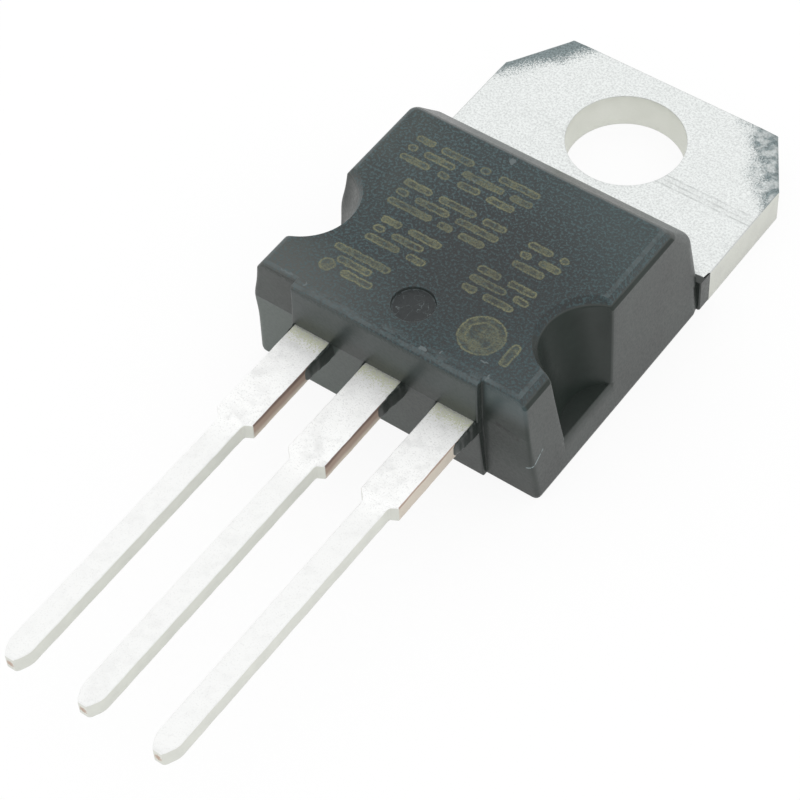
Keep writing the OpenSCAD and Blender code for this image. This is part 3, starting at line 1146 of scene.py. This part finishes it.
@dataclass
class Moulding:
    """The epoxy body: drafted walls, a long slope at the tab, scallops and a proud block."""

    rear_z: float = 0.04
    sunk: float = 0.004
    side_rear: float = 5.02
    side_half: float = 5.05
    side_line_z: float = 0.16
    bevel_foot: tuple[float, float] = (4.714, 4.08)
    bevel_top: float = 4.464
    slope_foot: tuple[float, float] = (3.658, 3.13)
    slope_top: float = 4.97
    corner_r: float = 0.5
    corner_top_r: float = 0.22
    corner_gap: float = 0.02
    foot_rear: float = 12.30
    foot_y: float = 12.46
    foot_top: float = 12.445
    block_rear: float = 12.46
    block_y: float = 12.72
    block_top: float = 12.705
    block_half: float = 3.25
    block_ease: tuple[float, float] = (0.06, 0.04)
    core: tuple[float, float, float] = (4.0, 6.0, 11.0)
    side_radii: tuple[float, ...] = (0.05, 0.06, 0.22)
    tab_radii: tuple[float, ...] = (0.01, 0.35, 0.07)
    end_radii: tuple[float, ...] = (0.02, 0.2)
    foot_round: tuple[float, float] = (0.20, 0.12)
    block_round: tuple[float, float] = (0.02, 0.05)
    notch_x: float = 5.71
    notch_y: float = 9.60
    notch_r: float = 1.443
    notch_lean: float = 0.61
    notch_open: float = 0.207
    notch_flare: float = 0.10
    notch_round: float = 0.07
    notch_points: int = 44
    flare_z: float = 4.1
    flare_power: float = 2.2
    floor_chamfer: float = 0.07
    floor_edge_z: float = 1.2
    side_bulge: float = 0.018
    bulge_z: float = 0.6
    wing_root: float = 5.035
    wing_end: float = 3.70
    wing_heel: tuple[float, float] = (0.04, 0.03)
    crease: tuple[float, float, float] = (0.06, 0.05, 0.08)
    wing_counts: tuple[int, ...] = (26, 4, 5, 2, 2, 2, 3)
    turn_points: int = 18
    mark_r: float = 0.65
    mark_depth: float = 0.1
    oval: tuple[float, float] = (2.0, 2.55)
    hub: tuple[float, float] = (0.0, -8.0)
    squeeze: float = 0.04
    squeezed: float = 0.95
    sharp_deg: float = 28.0

    def profile(self, points: Sequence[Sequence[float]], radii: Sequence[float],
                z: Array) -> Array:
        """Distance of a wall at each height, with its corners rounded.

        Args:
            points: (distance, height) corners from the rear up.
            radii: a radius for each inner corner.
            z: heights.

        Returns:
            One distance for each height.
        """
        curve = eased(points, radii, 10)
        return np.interp(np.minimum(z, SIZE.height - 1e-5), curve[:, 1], curve[:, 0])

    def walls(self, z: Array) -> dict[str, Array]:
        """Distances of all the walls at each height.

        Args:
            z: heights.

        Returns:
            Side, tab end, feet, block and corner radius, one value for each height.
        """
        top, rear, line = SIZE.height, self.rear_z, SIZE.parting_z
        side_core, tab_core, end_core = self.core
        side = [(self.side_rear, rear), (self.side_half, self.side_line_z), self.bevel_foot,
                (self.bevel_top, top), (side_core, top)]
        tab = [(SIZE.body_start, rear), (SIZE.body_start, SIZE.tab_t), self.slope_foot,
               (self.slope_top, top), (tab_core, top)]
        foot = [(self.foot_rear, rear), (self.foot_y, line), (self.foot_top, top), (end_core, top)]
        block = [(self.block_rear, rear), (self.block_y, line), (self.block_top, top), (end_core, top)]
        ease_z, ease_x = self.block_ease
        return {"side": self.profile(side, self.side_radii, z),
                "tab": self.profile(tab, self.tab_radii, z),
                "foot": self.profile(foot, self.end_radii, z),
                "block": self.profile(block, self.end_radii, z),
                "corner": np.interp(z, [self.slope_foot[1], top], [self.corner_r, self.corner_top_r]),
                "block_x": np.interp(z, [top - ease_z, top], [self.block_half, self.block_half - ease_x])}

    def tab_end(self, z: Array, walls: dict[str, Array], inset: Array,
                above: bool) -> tuple[list[Array], Array]:
        """Runs from the middle of the tab end to the side wall.

        They go round the wing below the tab's top, and round the plain corner above it.

        Args:
            z: heights.
            walls: distances of the walls.
            inset: how far each outline is drawn in.
            above: whether the heights are above the tab's top.

        Returns:
            The runs, and the row of points that the side wall starts from.
        """
        xs, yt, rc = walls["side"] - inset, -walls["tab"], walls["corner"]
        first = self.wing_counts[0]
        if above:
            turn = (np.arange(self.turn_points) / self.turn_points * (np.pi / 2))[None, :]
            corner = np.stack([(xs - rc)[:, None] + rc[:, None] * np.sin(turn),
                               (yt - rc)[:, None] + rc[:, None] * np.cos(turn)], axis=-1)
            return [run(pairs(0.0, yt, z), pairs(xs - rc, yt, z), first), corner], pairs(xs, yt - rc, z)
        wing, start, end = SIZE.tab_half - inset, -SIZE.body_start, -self.wing_end
        heel_x, heel_y = self.wing_heel
        deep, shallow, drop = self.crease
        stops = [(0.0, start), (self.wing_root, start), (wing, -SIZE.wing_tip), (wing, end + heel_y),
                 (wing - heel_x, end), (xs - deep, end), (xs - shallow, end - drop),
                 (xs, start - self.corner_r - self.corner_gap)]
        rows = [pairs(x, y, z) for x, y in stops]
        return [run(a, b, n) for a, b, n in zip(rows, rows[1:], self.wing_counts)], rows[-1]

    def scallop(self, z: Array, xs: Array, above: bool) -> tuple[list[Array], Array, Array]:
        """The scallop in the side wall; below the tab's top only its floor's chamfered edge.

        Args:
            z: heights.
            xs: the side wall.
            above: whether the heights are above the tab's top.

        Returns:
            Its runs, and the rows of points that it starts and ends at.
        """
        rise = np.clip((z - SIZE.tab_t) / (SIZE.height - SIZE.tab_t), 0, 1)
        flare = np.clip((z - self.flare_z) / (SIZE.height - self.flare_z), 0, 1) ** self.flare_power
        middle = self.notch_x - self.notch_lean * rise
        radius = self.notch_r + self.notch_open * rise + self.notch_flare * flare
        reach = np.sqrt(radius ** 2 - (middle - xs) ** 2)
        upper, lower, c = -self.notch_y + reach, -self.notch_y - reach, self.notch_round
        begin, finish = pairs(xs, upper + c, z), pairs(xs, lower - c, z)
        if not above:
            depth = np.clip((z - self.floor_edge_z) / (SIZE.tab_t - self.floor_edge_z), 0, 1)
            edge = xs - self.floor_chamfer * depth
            rows = [begin, pairs(edge, upper, z), pairs(edge, lower, z), finish]
            counts = (5, self.notch_points, 5)
            return [run(a, b, n) for a, b, n in zip(rows, rows[1:], counts)], begin, finish
        first = np.arcsin(np.clip(reach / radius, -1, 1)) - c / radius
        x, y = middle - radius * np.cos(first), radius * np.sin(first)
        phi = first[:, None] * (1 - 2 * np.arange(self.notch_points) / self.notch_points)[None, :]
        arc = np.stack([middle[:, None] - radius[:, None] * np.cos(phi),
                        -self.notch_y + radius[:, None] * np.sin(phi)], axis=-1)
        into = bend(begin, pairs(xs, upper, z), pairs(x, y - self.notch_y, z), 5)
        out = bend(pairs(x, -y - self.notch_y, z), pairs(xs, lower, z), finish, 5)
        return [into, arc, out], begin, finish

    def lead_end(self, z: Array, walls: dict[str, Array], inset: Array, start: Array) -> list[Array]:
        """Runs from the side wall round the foot and the block to the middle of the lead end.

        Args:
            z: heights.
            walls: distances of the walls.
            inset: how far each outline is drawn in.
            start: row of points that they start from.

        Returns:
            The runs.
        """
        xs, ye = walls["side"] - inset, -walls["foot"] + inset
        xb, yb = walls["block_x"] - inset, -walls["block"] + inset
        ce = np.interp(z, [self.rear_z, SIZE.parting_z], self.foot_round)
        inner, outer = self.block_round
        turns = [((xs, ye + ce), (xs, ye), (xs - ce, ye)),
                 ((xb + inner, ye), (xb, ye), (xb, ye - inner)),
                 ((xb, yb + outer), (xb, yb), (xb - outer, yb))]
        parts, last = [], start
        for turn, straight, bent in zip(turns, (12, 14, 5), (7, 3, 4)):
            before, corner, after = (pairs(x, y, z) for x, y in turn)
            parts += [run(last, before, straight), bend(before, corner, after, bent)]
            last = after
        return [*parts, run(last, pairs(0.0, yb, z), 30)]

    def outline(self, z: Array, inset: Array, above: bool) -> Array:
        """Outlines of the moulding in plan, one for each height.

        The right half runs from the middle of the tab end, round the corner, down the side with
        its scallop and along the lead end with its block. The left half mirrors it, but bulges
        a little at the parting line.

        Args:
            z: heights.
            inset: how far each outline is drawn in.
            above: whether the heights are above the tab's top.

        Returns:
            Heights by points by 2.
        """
        walls = self.walls(z)
        first, after = self.tab_end(z, walls, inset, above)
        notch, begin, finish = self.scallop(z, walls["side"] - inset, above)
        parts = [*first, run(after, begin, 30), *notch, *self.lead_end(z, walls, inset, finish)]
        right = np.concatenate(parts, axis=1)
        bulge = 1 + self.side_bulge * np.exp(-((z - SIZE.parting_z) / self.bulge_z) ** 2)
        left = right[:, :0:-1] * np.stack([-bulge, np.ones_like(z)], axis=1)[:, None, :]
        middle = pairs(0.0, -walls["block"] + inset, z)[:, None, :]
        return np.concatenate([right, middle, left], axis=1)

    def rear(self, edge: Array) -> Array:
        """Rings of the rear face, from its middle to just inside its edge.

        The wings stand proud of the box that the other rings scale down, so two rings first
        squeeze them, along y and then along x.

        Args:
            edge: the outermost ring.

        Returns:
            Levels by points by 3.
        """
        level, wide = -SIZE.body_start - self.squeeze, SIZE.tab_half - 4 * self.squeeze
        flat = edge * np.array([0.998, 1.0, 1.0])
        flat[:, 1] -= np.maximum(flat[:, 1] - level, 0) * self.squeezed
        box = flat.copy()
        box[:, 0] -= np.sign(box[:, 0]) * np.maximum(np.abs(box[:, 0]) - wide, 0) * self.squeezed
        hub = np.array([*self.hub, self.rear_z])
        inside = hub + (box - hub) * np.array([0.05, 0.4, 0.8])[:, None, None]
        return np.concatenate([inside, box[None], flat[None]])

    def side_rings(self) -> Array:
        """Rings of all the walls, from the rear face's edge to the front face's edge.

        Returns:
            Levels by points by 3.
        """
        rear, seam, top = self.rear_z, SIZE.tab_t - self.sunk, SIZE.height
        low = np.array([rear, rear + 0.006, rear + 0.02, 0.10, 0.13, 0.16, 0.19, 0.24, 0.5, 0.8, 1.1,
                        1.24, seam])
        inset = np.array([0.02, 0.006] + [0.0] * (len(low) - 2))
        high = np.concatenate([
            [seam, 1.30, 1.4, 1.6, 1.9, 2.2, 2.5, 2.7, 2.79, 2.815, 2.825, 2.85, 2.95, 3.0],
            np.linspace(3.04, 3.3, 8), [3.5, 3.7, 3.85, 3.95], np.linspace(4.0, 4.16, 8),
            [4.2, 4.24, 4.28, 4.32, 4.36, 4.39, 4.42],
            top - 0.07 * np.cos(np.linspace(0.2, np.pi / 2, 7))])
        plan = np.concatenate([self.outline(low, inset, False),
                               self.outline(high, np.zeros_like(high), True)])
        z = np.concatenate([low, high])[:, None, None]
        return np.concatenate([plan, np.broadcast_to(z, plan.shape[:2] + (1,))], axis=2)

    def front_rings(self, rim: Array) -> Array:
        """Rings of the front face: in from its edge through an oval to the ejector's mark.

        Args:
            rim: the face's edge in plan.

        Returns:
            Levels by points by 3.
        """
        centre = np.array(SIZE.mark)
        waist = np.array([0.0, -self.notch_y])
        oval = waist + rays(rim, waist) * np.array(self.oval)
        ray = rays(oval, centre)
        radii = np.array([0.06, 0.045, 0.03, 0.015, 0.0, -0.01, -0.02, -0.05, -0.15, -0.3, -0.45, -0.6])
        drop = np.array([0.0, 0.0, 0.0, 0.04, 0.2, 0.5, 0.92, 1.0, 1.0, 1.0, 1.0, 1.0]) * self.mark_depth
        mark = centre + ray[None] * (self.mark_r + radii)[:, None, None]
        outer = np.array([0.02, 0.06, 0.15, 0.3, 0.5, 0.75])[:, None, None]
        inner = np.array([0.0, 0.25, 0.5, 0.75, 0.92])[:, None, None]
        face = np.concatenate([rim * (1 - outer) + oval * outer, oval * (1 - inner) + mark[0] * inner])
        lumps = 0.016 * wobble(mark[..., 0] * 1.3 + 0.7, 3) * wobble(mark[..., 1] * 1.3, 5)
        floor = np.where((radii < -0.03)[:, None], lumps, 0.0)
        mark_z = SIZE.height - drop[:, None] + floor
        return np.concatenate([
            np.concatenate([face, np.full(face.shape[:2] + (1,), SIZE.height)], axis=2),
            np.concatenate([mark, mark_z[..., None]], axis=2)])

    def build(self, finish: bpy.types.Material) -> bpy.types.Object:
        """Make the moulding and dress it.

        Args:
            finish: its material.

        Returns:
            The moulding.
        """
        shell = Shell()
        walls = self.side_rings()
        shell.add(np.concatenate([self.rear(walls[0]), walls, self.front_rings(walls[-1, :, :2])]))
        for lead in (-1, 0, 1):
            for sign in (1, -1):
                side_x = SIZE.pitch * lead + (SIZE.stub_right if sign > 0 else SIZE.stub_left)
                shell.add(Flash().rings(-self.block_y, side_x, sign, 1 - 0.08 * lead, 31 + 5 * lead + sign))
        piece = shell.make("moulding", self.sharp_deg)
        dress(piece, finish, Slot.EPOXY, "mould_body")
        return piece


# ---------------------------------------------------------------------------
# Leads and tab
# ---------------------------------------------------------------------------

@dataclass
class LeadShape:
    """A stamped lead: its edges in plan and its path in side view."""

    x: float
    path: Sequence[Sequence[float]]
    left: Sequence[Sequence[float]]
    right: Sequence[Sequence[float]]
    thickness: float = 0.6
    edge_r: float = 0.045
    seed: int = 1
    step: float = 0.12
    mark_step: float = 0.02
    end_gap: float = 0.07
    rough: float = 0.006
    corner_points: int = 5
    end_shares: tuple[float, ...] = (0.90, 0.82, 0.78, 0.4)
    end_rounding: tuple[float, float] = (0.04, 0.012)

    def section(self) -> tuple[Array, Array]:
        """Round-cornered section as shares across the width and heights from the middle.

        Returns:
            For each point its side (-1 or 1) with its inset, and its face (-1 or 1) with its inset.
        """
        n = self.corner_points
        quarter = np.linspace(0, np.pi / 2, n)
        side, height = [], []
        for sx, sz, angles in ((1, 1, quarter), (-1, 1, quarter[::-1]), (-1, -1, quarter),
                               (1, -1, quarter[::-1])):
            side.append(np.stack([np.full(n, sx), 1 - np.cos(angles)], axis=1))
            height.append(np.stack([np.full(n, sz), 1 - np.sin(angles)], axis=1))
        return np.vstack(side), np.vstack(height)

    def stations(self, path: Array, length: Array) -> Array:
        """Distances along the path of all the sections, close together at the edges' corners.

        Args:
            path: (y, z) points of the path.
            length: distance along the path at each of them.

        Returns:
            The distances, from the inner end.
        """
        marks = np.array([p[0] for p in [*self.left, *self.right]])
        along = np.interp(-marks, -path[:, 0], length)
        fine = [along + d for d in (-self.mark_step, 0.0, self.mark_step)]
        s = np.concatenate([np.arange(0, length[-1], self.step), length, *fine])
        s = np.unique(np.round(np.clip(s, 0, length[-1]), 3))
        return s[(s < length[-1] - self.end_gap) | (s > length[-1] - 1e-3)]

    def edge(self, stops: Sequence[Sequence[float]], y: Array, s: Array, seed: int) -> Array:
        """One side of the lead at each section, a little rough from stamping.

        Args:
            stops: (y, x) corners of the edge.
            y: where the sections are.
            s: distances along the path.
            seed: picks the roughness.

        Returns:
            One x for each section.
        """
        return (np.interp(-y, [-p[0] for p in stops], [p[1] for p in stops])
                + self.rough * wobble(s, seed, 6, 0.6))

    def rings(self) -> Array:
        """Sections carried along the path, square to it, from the inner end to the tip.

        Returns:
            Levels by points by 3.
        """
        path = np.asarray(self.path, float)
        length = np.concatenate([[0], np.cumsum(np.linalg.norm(np.diff(path, axis=0), axis=1))])
        s = self.stations(path, length)
        y, z = np.interp(s, length, path[:, 0]), np.interp(s, length, path[:, 1])
        heading = np.stack([np.gradient(y, s), np.gradient(z, s)], axis=1)
        heading /= np.linalg.norm(heading, axis=1)[:, None]
        left, right = self.edge(self.left, y, s, self.seed), self.edge(self.right, y, s, self.seed + 7)
        side, height = self.section()
        edge = np.where(side[None, :, 0] > 0, right[:, None], left[:, None])
        x = self.x + edge - side[None, :, 0] * side[None, :, 1] * self.edge_r
        lift = height[:, 0] * (self.thickness / 2 - height[:, 1] * self.edge_r)
        rings = np.stack([x, y[:, None] + heading[:, 1:2] * lift[None],
                          z[:, None] - heading[:, 0:1] * lift[None]], axis=-1)
        # The rim of the end face is rounded, and rings inside it keep the face flat
        face = rings[-1:]
        mid = face.mean(axis=1, keepdims=True)
        ends = [mid + (face - mid) * share for share in self.end_shares]
        rings[-1, :, 1] += self.end_rounding[0]
        ends[0][..., 1] += self.end_rounding[1]
        return np.concatenate([rings, *ends])


@dataclass
class LeadFrame:
    """The three leads and the tab, all of tin-plated copper."""

    lead_t: float = 0.6
    half: float = 0.38
    shoulder_y: float = 16.36
    left_shoulder: tuple[tuple[float, float], ...] = ((0.2, 0.09), (0.32, 0.0))
    right_shoulder: tuple[tuple[float, float], ...] = ((0.11, 0.03), (0.2, 0.0))
    tip_y: float = 26.15
    tip_len: float = 0.42
    tip_half: float = 0.17
    tip_ease: tuple[float, float] = (1.2, 0.7)
    post_start: float = 10.45
    post_end: float = 11.75
    post_half: float = 1.15
    post_shift: float = 0.28
    neck: float = 0.35
    joint_in: float = 0.4
    joint_out: float = 0.3
    joint_deg: float = 52.0
    joint_r: float = 0.3
    joint_start: float = 9.0
    tab_top_y: float = 2.8
    corner: tuple[float, float] = (1.24, 2.0)
    hole_round: float = 0.035
    hole_rear: tuple[float, float] = (0.03, 0.008)
    header_half: float = 4.0
    header_end: float = 9.9
    header_start: float = 4.03
    lip_out: float = 0.25
    lip_t: float = 0.4
    lip_clear: float = 0.05
    wing_in: float = 0.035
    shoulder_in: float = 0.50
    edge_roll: float = 0.08
    corner_roll: float = 0.5
    roll_depth: tuple[float, float] = (0.035, 0.055)
    rear_round: float = 0.04
    outline_counts: tuple[int, ...] = (30, 30, 26, 6, 4, 6, 26, 34)
    lead_sharp_deg: float = 40.0
    tab_sharp_deg: float = 35.0

    def lead_edges(self) -> tuple[list, list]:
        """Left and right edges of a lead from its shoulders to its tip.

        Returns:
            The left and the right edge as (y, x) corners.
        """
        s, t = -self.shoulder_y, -self.tip_y
        ease_len, ease_r = self.tip_ease
        taper = eased([(t + ease_len, self.half), (t + self.tip_len, self.half), (t, self.tip_half)],
                      [ease_r], 7).tolist()
        left = [(s, SIZE.stub_left)] + [(s - down, -self.half - out) for down, out in self.left_shoulder]
        right = [(s, SIZE.stub_right)] + [(s - down, self.half + out) for down, out in self.right_shoulder]
        return left + [(y, -x) for y, x in taper], right + taper

    def outer_lead(self, side: int, name: str, node: str, finish: bpy.types.Material) -> None:
        """Make an outer lead with its bond post.

        Args:
            side: -1 for the gate and 1 for the source.
            name: name of the piece.
            node: solid that it replaces.
            finish: its material.
        """
        left, right = self.lead_edges()
        start, end, mid = -self.post_start, -self.post_end, side * self.post_shift
        sides = ((mid - self.post_half, SIZE.stub_left), (mid + self.post_half, SIZE.stub_right))
        post_left, post_right = ([(start, post), (end, post), (end - self.neck, stub)]
                                 for post, stub in sides)
        lead = LeadShape(side * SIZE.pitch, [(start, SIZE.lead_mid), (-self.tip_y, SIZE.lead_mid)],
                         post_left + left, post_right + right, self.lead_t, seed=11 + side)
        shell = Shell()
        shell.add(lead.rings())
        dress(shell.make(name, self.lead_sharp_deg), finish, Slot.COPPER, node)

    def middle_lead(self) -> Array:
        """Rings of the middle lead, which steps down to the header.

        Returns:
            Levels by points by 3.
        """
        left, right = self.lead_edges()
        low, end = SIZE.tab_t - self.lead_t / 2, -self.header_end
        rise = (SIZE.lead_mid - low) / math.tan(math.radians(self.joint_deg))
        foot = end - self.joint_out
        path = eased([(end + self.joint_in, low), (foot, low), (foot - rise, SIZE.lead_mid),
                      (-self.tip_y, SIZE.lead_mid)], [self.joint_r, self.joint_r], 8)
        return LeadShape(0.0, path, [(-self.joint_start, SIZE.stub_left)] + left,
                         [(-self.joint_start, SIZE.stub_right)] + right, self.lead_t, seed=12).rings()

    def tab_outline(self, edge: float, rolled: float) -> Array:
        """Outline of the tab and header in plan, drawn in by different amounts.

        Each corner is where the two drawn-in lines beside it cross.

        Args:
            edge: how far the plain edges are drawn in.
            rolled: how far the two cut corners are drawn in.

        Returns:
            Points by 2, clockwise from the middle of the free end.
        """
        w, h, top = SIZE.tab_half - edge, self.header_half - edge, self.tab_top_y - edge
        end, start = -self.header_end + edge, -SIZE.body_start
        cx, cy = self.corner
        out = np.array([cy, cx]) / math.hypot(cx, cy)
        line = out @ np.array([SIZE.tab_half - cx, self.tab_top_y]) - rolled
        stops = [(0.0, top), ((line - out[1] * top) / out[0], top), (w, (line - out[0] * w) / out[1]),
                 (w, -SIZE.wing_tip), (w - self.wing_in, start),
                 (w - self.shoulder_in, start - self.wing_in), (h, -self.header_start), (h, end),
                 (0.0, end)]
        right = np.vstack([np.array(a) + (np.array(b) - np.array(a)) * np.arange(n)[:, None] / n
                           for a, b, n in zip(stops, stops[1:], self.outline_counts)])
        return np.vstack([right, stops[-1:], right[:0:-1] * np.array([-1.0, 1.0])])

    def roll(self, count: int) -> Array:
        """Depth to which each outline point's edge is rolled, deepest at the cut corners.

        Args:
            count: points on the outline.

        Returns:
            One depth for each point.
        """
        first, second = self.outline_counts[0], sum(self.outline_counts[:2])
        place = np.minimum(np.arange(count), count - np.arange(count))
        share = np.interp(place, [first - 4, first + 2, second - 2, second + 3], [0.0, 1.0, 1.0, 0.0])
        return self.roll_depth[0] + self.roll_depth[1] * share

    def tab_rings(self) -> Array:
        """The tab and header as rings between the hole and the outline, joined end to end.

        The front face runs out from the hole, rolls over the edge, goes down the side with the
        header's lock lip, and comes back along the rear face and up the hole's wall.

        Returns:
            Levels by points by 3.
        """
        outline = self.tab_outline(0.0, 0.0)
        ray = rays(outline, np.zeros(2))
        t, r, soft = SIZE.tab_t, SIZE.hole_r, self.rear_round
        foot, heel = self.hole_rear
        in_header = ((outline[:, 1] < -self.header_start)
                     & (outline[:, 1] > self.lip_clear - self.header_end))
        lip = np.stack([np.sign(outline[:, 0]) * self.lip_out * in_header, np.zeros(len(outline))], axis=1)
        high, low = (t + self.lip_t) / 2, (t - self.lip_t) / 2
        inner, rim = self.tab_outline(self.edge_roll, self.corner_roll), ray * (r + self.hole_round)
        rear = self.tab_outline(soft, soft)
        front = [(rim * (1 - share) + inner * share, t)
                 for share in (0.0, 0.03, 0.1, 0.25, 0.45, 0.65, 0.85, 1.0)]
        quarter = np.linspace(0, np.pi / 2, 8)[1:]
        rolled = [(self.tab_outline(self.edge_roll * keep, self.corner_roll * keep), t - fall)
                  for keep, fall in ((1 - math.sin(a), self.roll(len(outline)) * (1 - math.cos(a)))
                                     for a in quarter)]
        side = [(outline, high), (outline + lip, high), (outline + lip, low), (outline, low)]
        under = [(self.tab_outline(keep, keep), z)
                 for keep, z in ((soft * (1 - math.cos(a)), soft * (1 - math.sin(a)))
                                 for a in np.linspace(0, np.pi / 2, 4))]
        back = [(rear * (1 - share) + ray * (r + foot) * share, 0.0) for share in (0.1, 0.4, 0.7, 0.9, 1.0)]
        wall = [(ray * (r + heel), heel),
                *((ray * r, z) for z in (foot, 0.3, 0.6, 0.9, t - self.hole_round)),
                (ray * (r + 0.01), t - 0.01)]
        return np.stack([np.concatenate([plan, (z + np.zeros(len(plan)))[:, None]], axis=1)
                         for plan, z in [*front, *rolled, *side, *under, *back, *wall]])

    def build(self, finish: bpy.types.Material) -> None:
        """Make the tab with its middle lead, and the two outer leads.

        Args:
            finish: their material.
        """
        shell = Shell()
        shell.add(self.tab_rings(), join_levels=True)
        shell.add(self.middle_lead())
        dress(shell.make("tab_and_drain_lead", self.tab_sharp_deg), finish, Slot.COPPER, "drain_header")
        self.outer_lead(-1, "gate_lead_plated", "gate_lead", finish)
        self.outer_lead(1, "source_lead_plated", "source_lead", finish)


@dataclass
class ChipAndWires:
    """The sealed inner pieces, which keep their solids and get finishes of their own."""

    def build(self) -> None:
        """Give each inner solid its material."""
        wire = PlainMetal("bond_wire", (0.84, 0.85, 0.86), 0.3).build()
        finishes = {
            "silicon_die": PlainMetal("silicon_chip", (0.16, 0.17, 0.22), 0.25, 0.6).build(),
            "die_solder": PlainMetal("die_solder", (0.45, 0.46, 0.48), 0.5).build(),
            "gate_wire": wire, "source_wire_inner": wire, "source_wire_outer": wire}
        for node, finish in finishes.items():
            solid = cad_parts[node]
            solid.data.materials.clear()
            solid.data.materials.append(finish)


# ---------------------------------------------------------------------------
# Studio
# ---------------------------------------------------------------------------

@dataclass
class Studio:
    """Floor, lamp, world and camera."""

    eye_mm: tuple[float, float, float] = (31.1175, -50.8610, 64.2125)
    right: tuple[float, float, float] = (0.80915586, 0.58634668, -0.03826699)
    down: tuple[float, float, float] = (0.44279581, -0.65127530, -0.61625673)
    ahead: tuple[float, float, float] = (-0.38626243, 0.48170328, -0.78661508)
    lens_mm: float = 124.0565
    sensor_mm: float = 36.0
    clip_m: tuple[float, float] = (0.001, 10.0)
    floor_m: float = 3.0
    floor_z: float = -2e-6
    floor_grey: float = 0.9
    floor_in_gloss: float = 0.55
    floor_to_camera: float = 0.9
    world_light: float = 1.15
    world_seen: float = 1.0
    lamp_at: tuple[float, float, float] = (-0.25, 0.2, 0.5)
    lamp_size: float = 0.35
    lamp_watts: float = 0.05

    def camera(self) -> None:
        """Set the camera, which looks down over the lead end from the +X side."""
        data = bpy.data.cameras.new("view")
        data.sensor_width, data.lens = self.sensor_mm, self.lens_mm
        data.clip_start, data.clip_end = self.clip_m
        view = bpy.data.objects.new("view", data)
        turn = Matrix((self.right, [-v for v in self.down], [-v for v in self.ahead])).transposed()
        view.matrix_world = Matrix.Translation([v * MM for v in self.eye_mm]) @ turn.to_4x4()
        bpy.context.scene.collection.objects.link(view)
        bpy.context.scene.camera = view

    def floor(self) -> None:
        """Lay the pale floor, which the camera sees as white with a soft shadow."""
        half, z = self.floor_m / 2, self.floor_z
        mesh = bpy.data.meshes.new("floor")
        mesh.from_pydata([(-half, -half, z), (half, -half, z), (half, half, z), (-half, half, z)], [],
                         [(0, 1, 2, 3)])
        floor = bpy.data.objects.new("floor", mesh)
        bpy.context.scene.collection.objects.link(floor)
        p = Paper("pale_floor")
        p.set("Base Color", (self.floor_grey,) * 3)
        p.set("Roughness", self.floor_grey)
        mix = p.node("ShaderNodeMixShader")
        glow = p.node("ShaderNodeEmission")
        shown = (p.ray("Glossy") * self.floor_in_gloss).most(p.ray("Camera") * self.floor_to_camera)
        for socket, value in zip(mix.inputs, (shown, p.shader.outputs[0], glow.outputs[0])):
            p.feed(socket, value)
        p.feed(p.tree.nodes["Material Output"].inputs["Surface"], mix.outputs[0])
        mesh.materials.append(p.material)

    def world(self) -> None:
        """Fill the world with soft light; rays that show it see white."""
        world = bpy.data.worlds.new("studio")
        world.use_nodes = True
        nodes = Nodes(world.node_tree)
        shown = nodes.ray("Camera").most(nodes.ray("Glossy")).most(nodes.ray("Transmission"))
        back = nodes.tree.nodes["Background"]
        nodes.feed(back.inputs["Strength"], self.world_light - shown * (self.world_light - self.world_seen))
        nodes.feed(back.inputs["Color"], (1.0, 1.0, 1.0))
        bpy.context.scene.world = world

    def lamp(self) -> None:
        """Hang a square soft lamp that faces the part."""
        data = bpy.data.lights.new("key", "AREA")
        data.size, data.energy = self.lamp_size, self.lamp_watts
        lamp = bpy.data.objects.new("key", data)
        at = np.array(self.lamp_at)
        back = at / np.linalg.norm(at)
        side = np.cross([0.0, 0.0, 1.0], back)
        side /= np.linalg.norm(side)
        turn = Matrix((side, np.cross(back, side), back)).transposed()
        lamp.matrix_world = Matrix.Translation(at) @ turn.to_4x4()
        bpy.context.scene.collection.objects.link(lamp)

    def build(self) -> None:
        """Set up the studio."""
        self.camera()
        self.floor()
        self.world()
        self.lamp()
        bpy.context.scene.view_settings.view_transform = "Standard"


def main() -> None:
    """Build the studio and every piece in order."""
    logging.basicConfig(level=logging.INFO)
    Studio().build()
    LOG.info("studio set up")
    Moulding().build(MouldedEpoxy(Paper("moulded_epoxy")).build())
    LOG.info("moulding made")
    LeadFrame().build(TinPlate(Paper("tin_plate")).build())
    LOG.info("tab and leads made")
    ChipAndWires().build()
    LOG.info("chip and wires dressed")


if __name__ == "__main__":
    main()
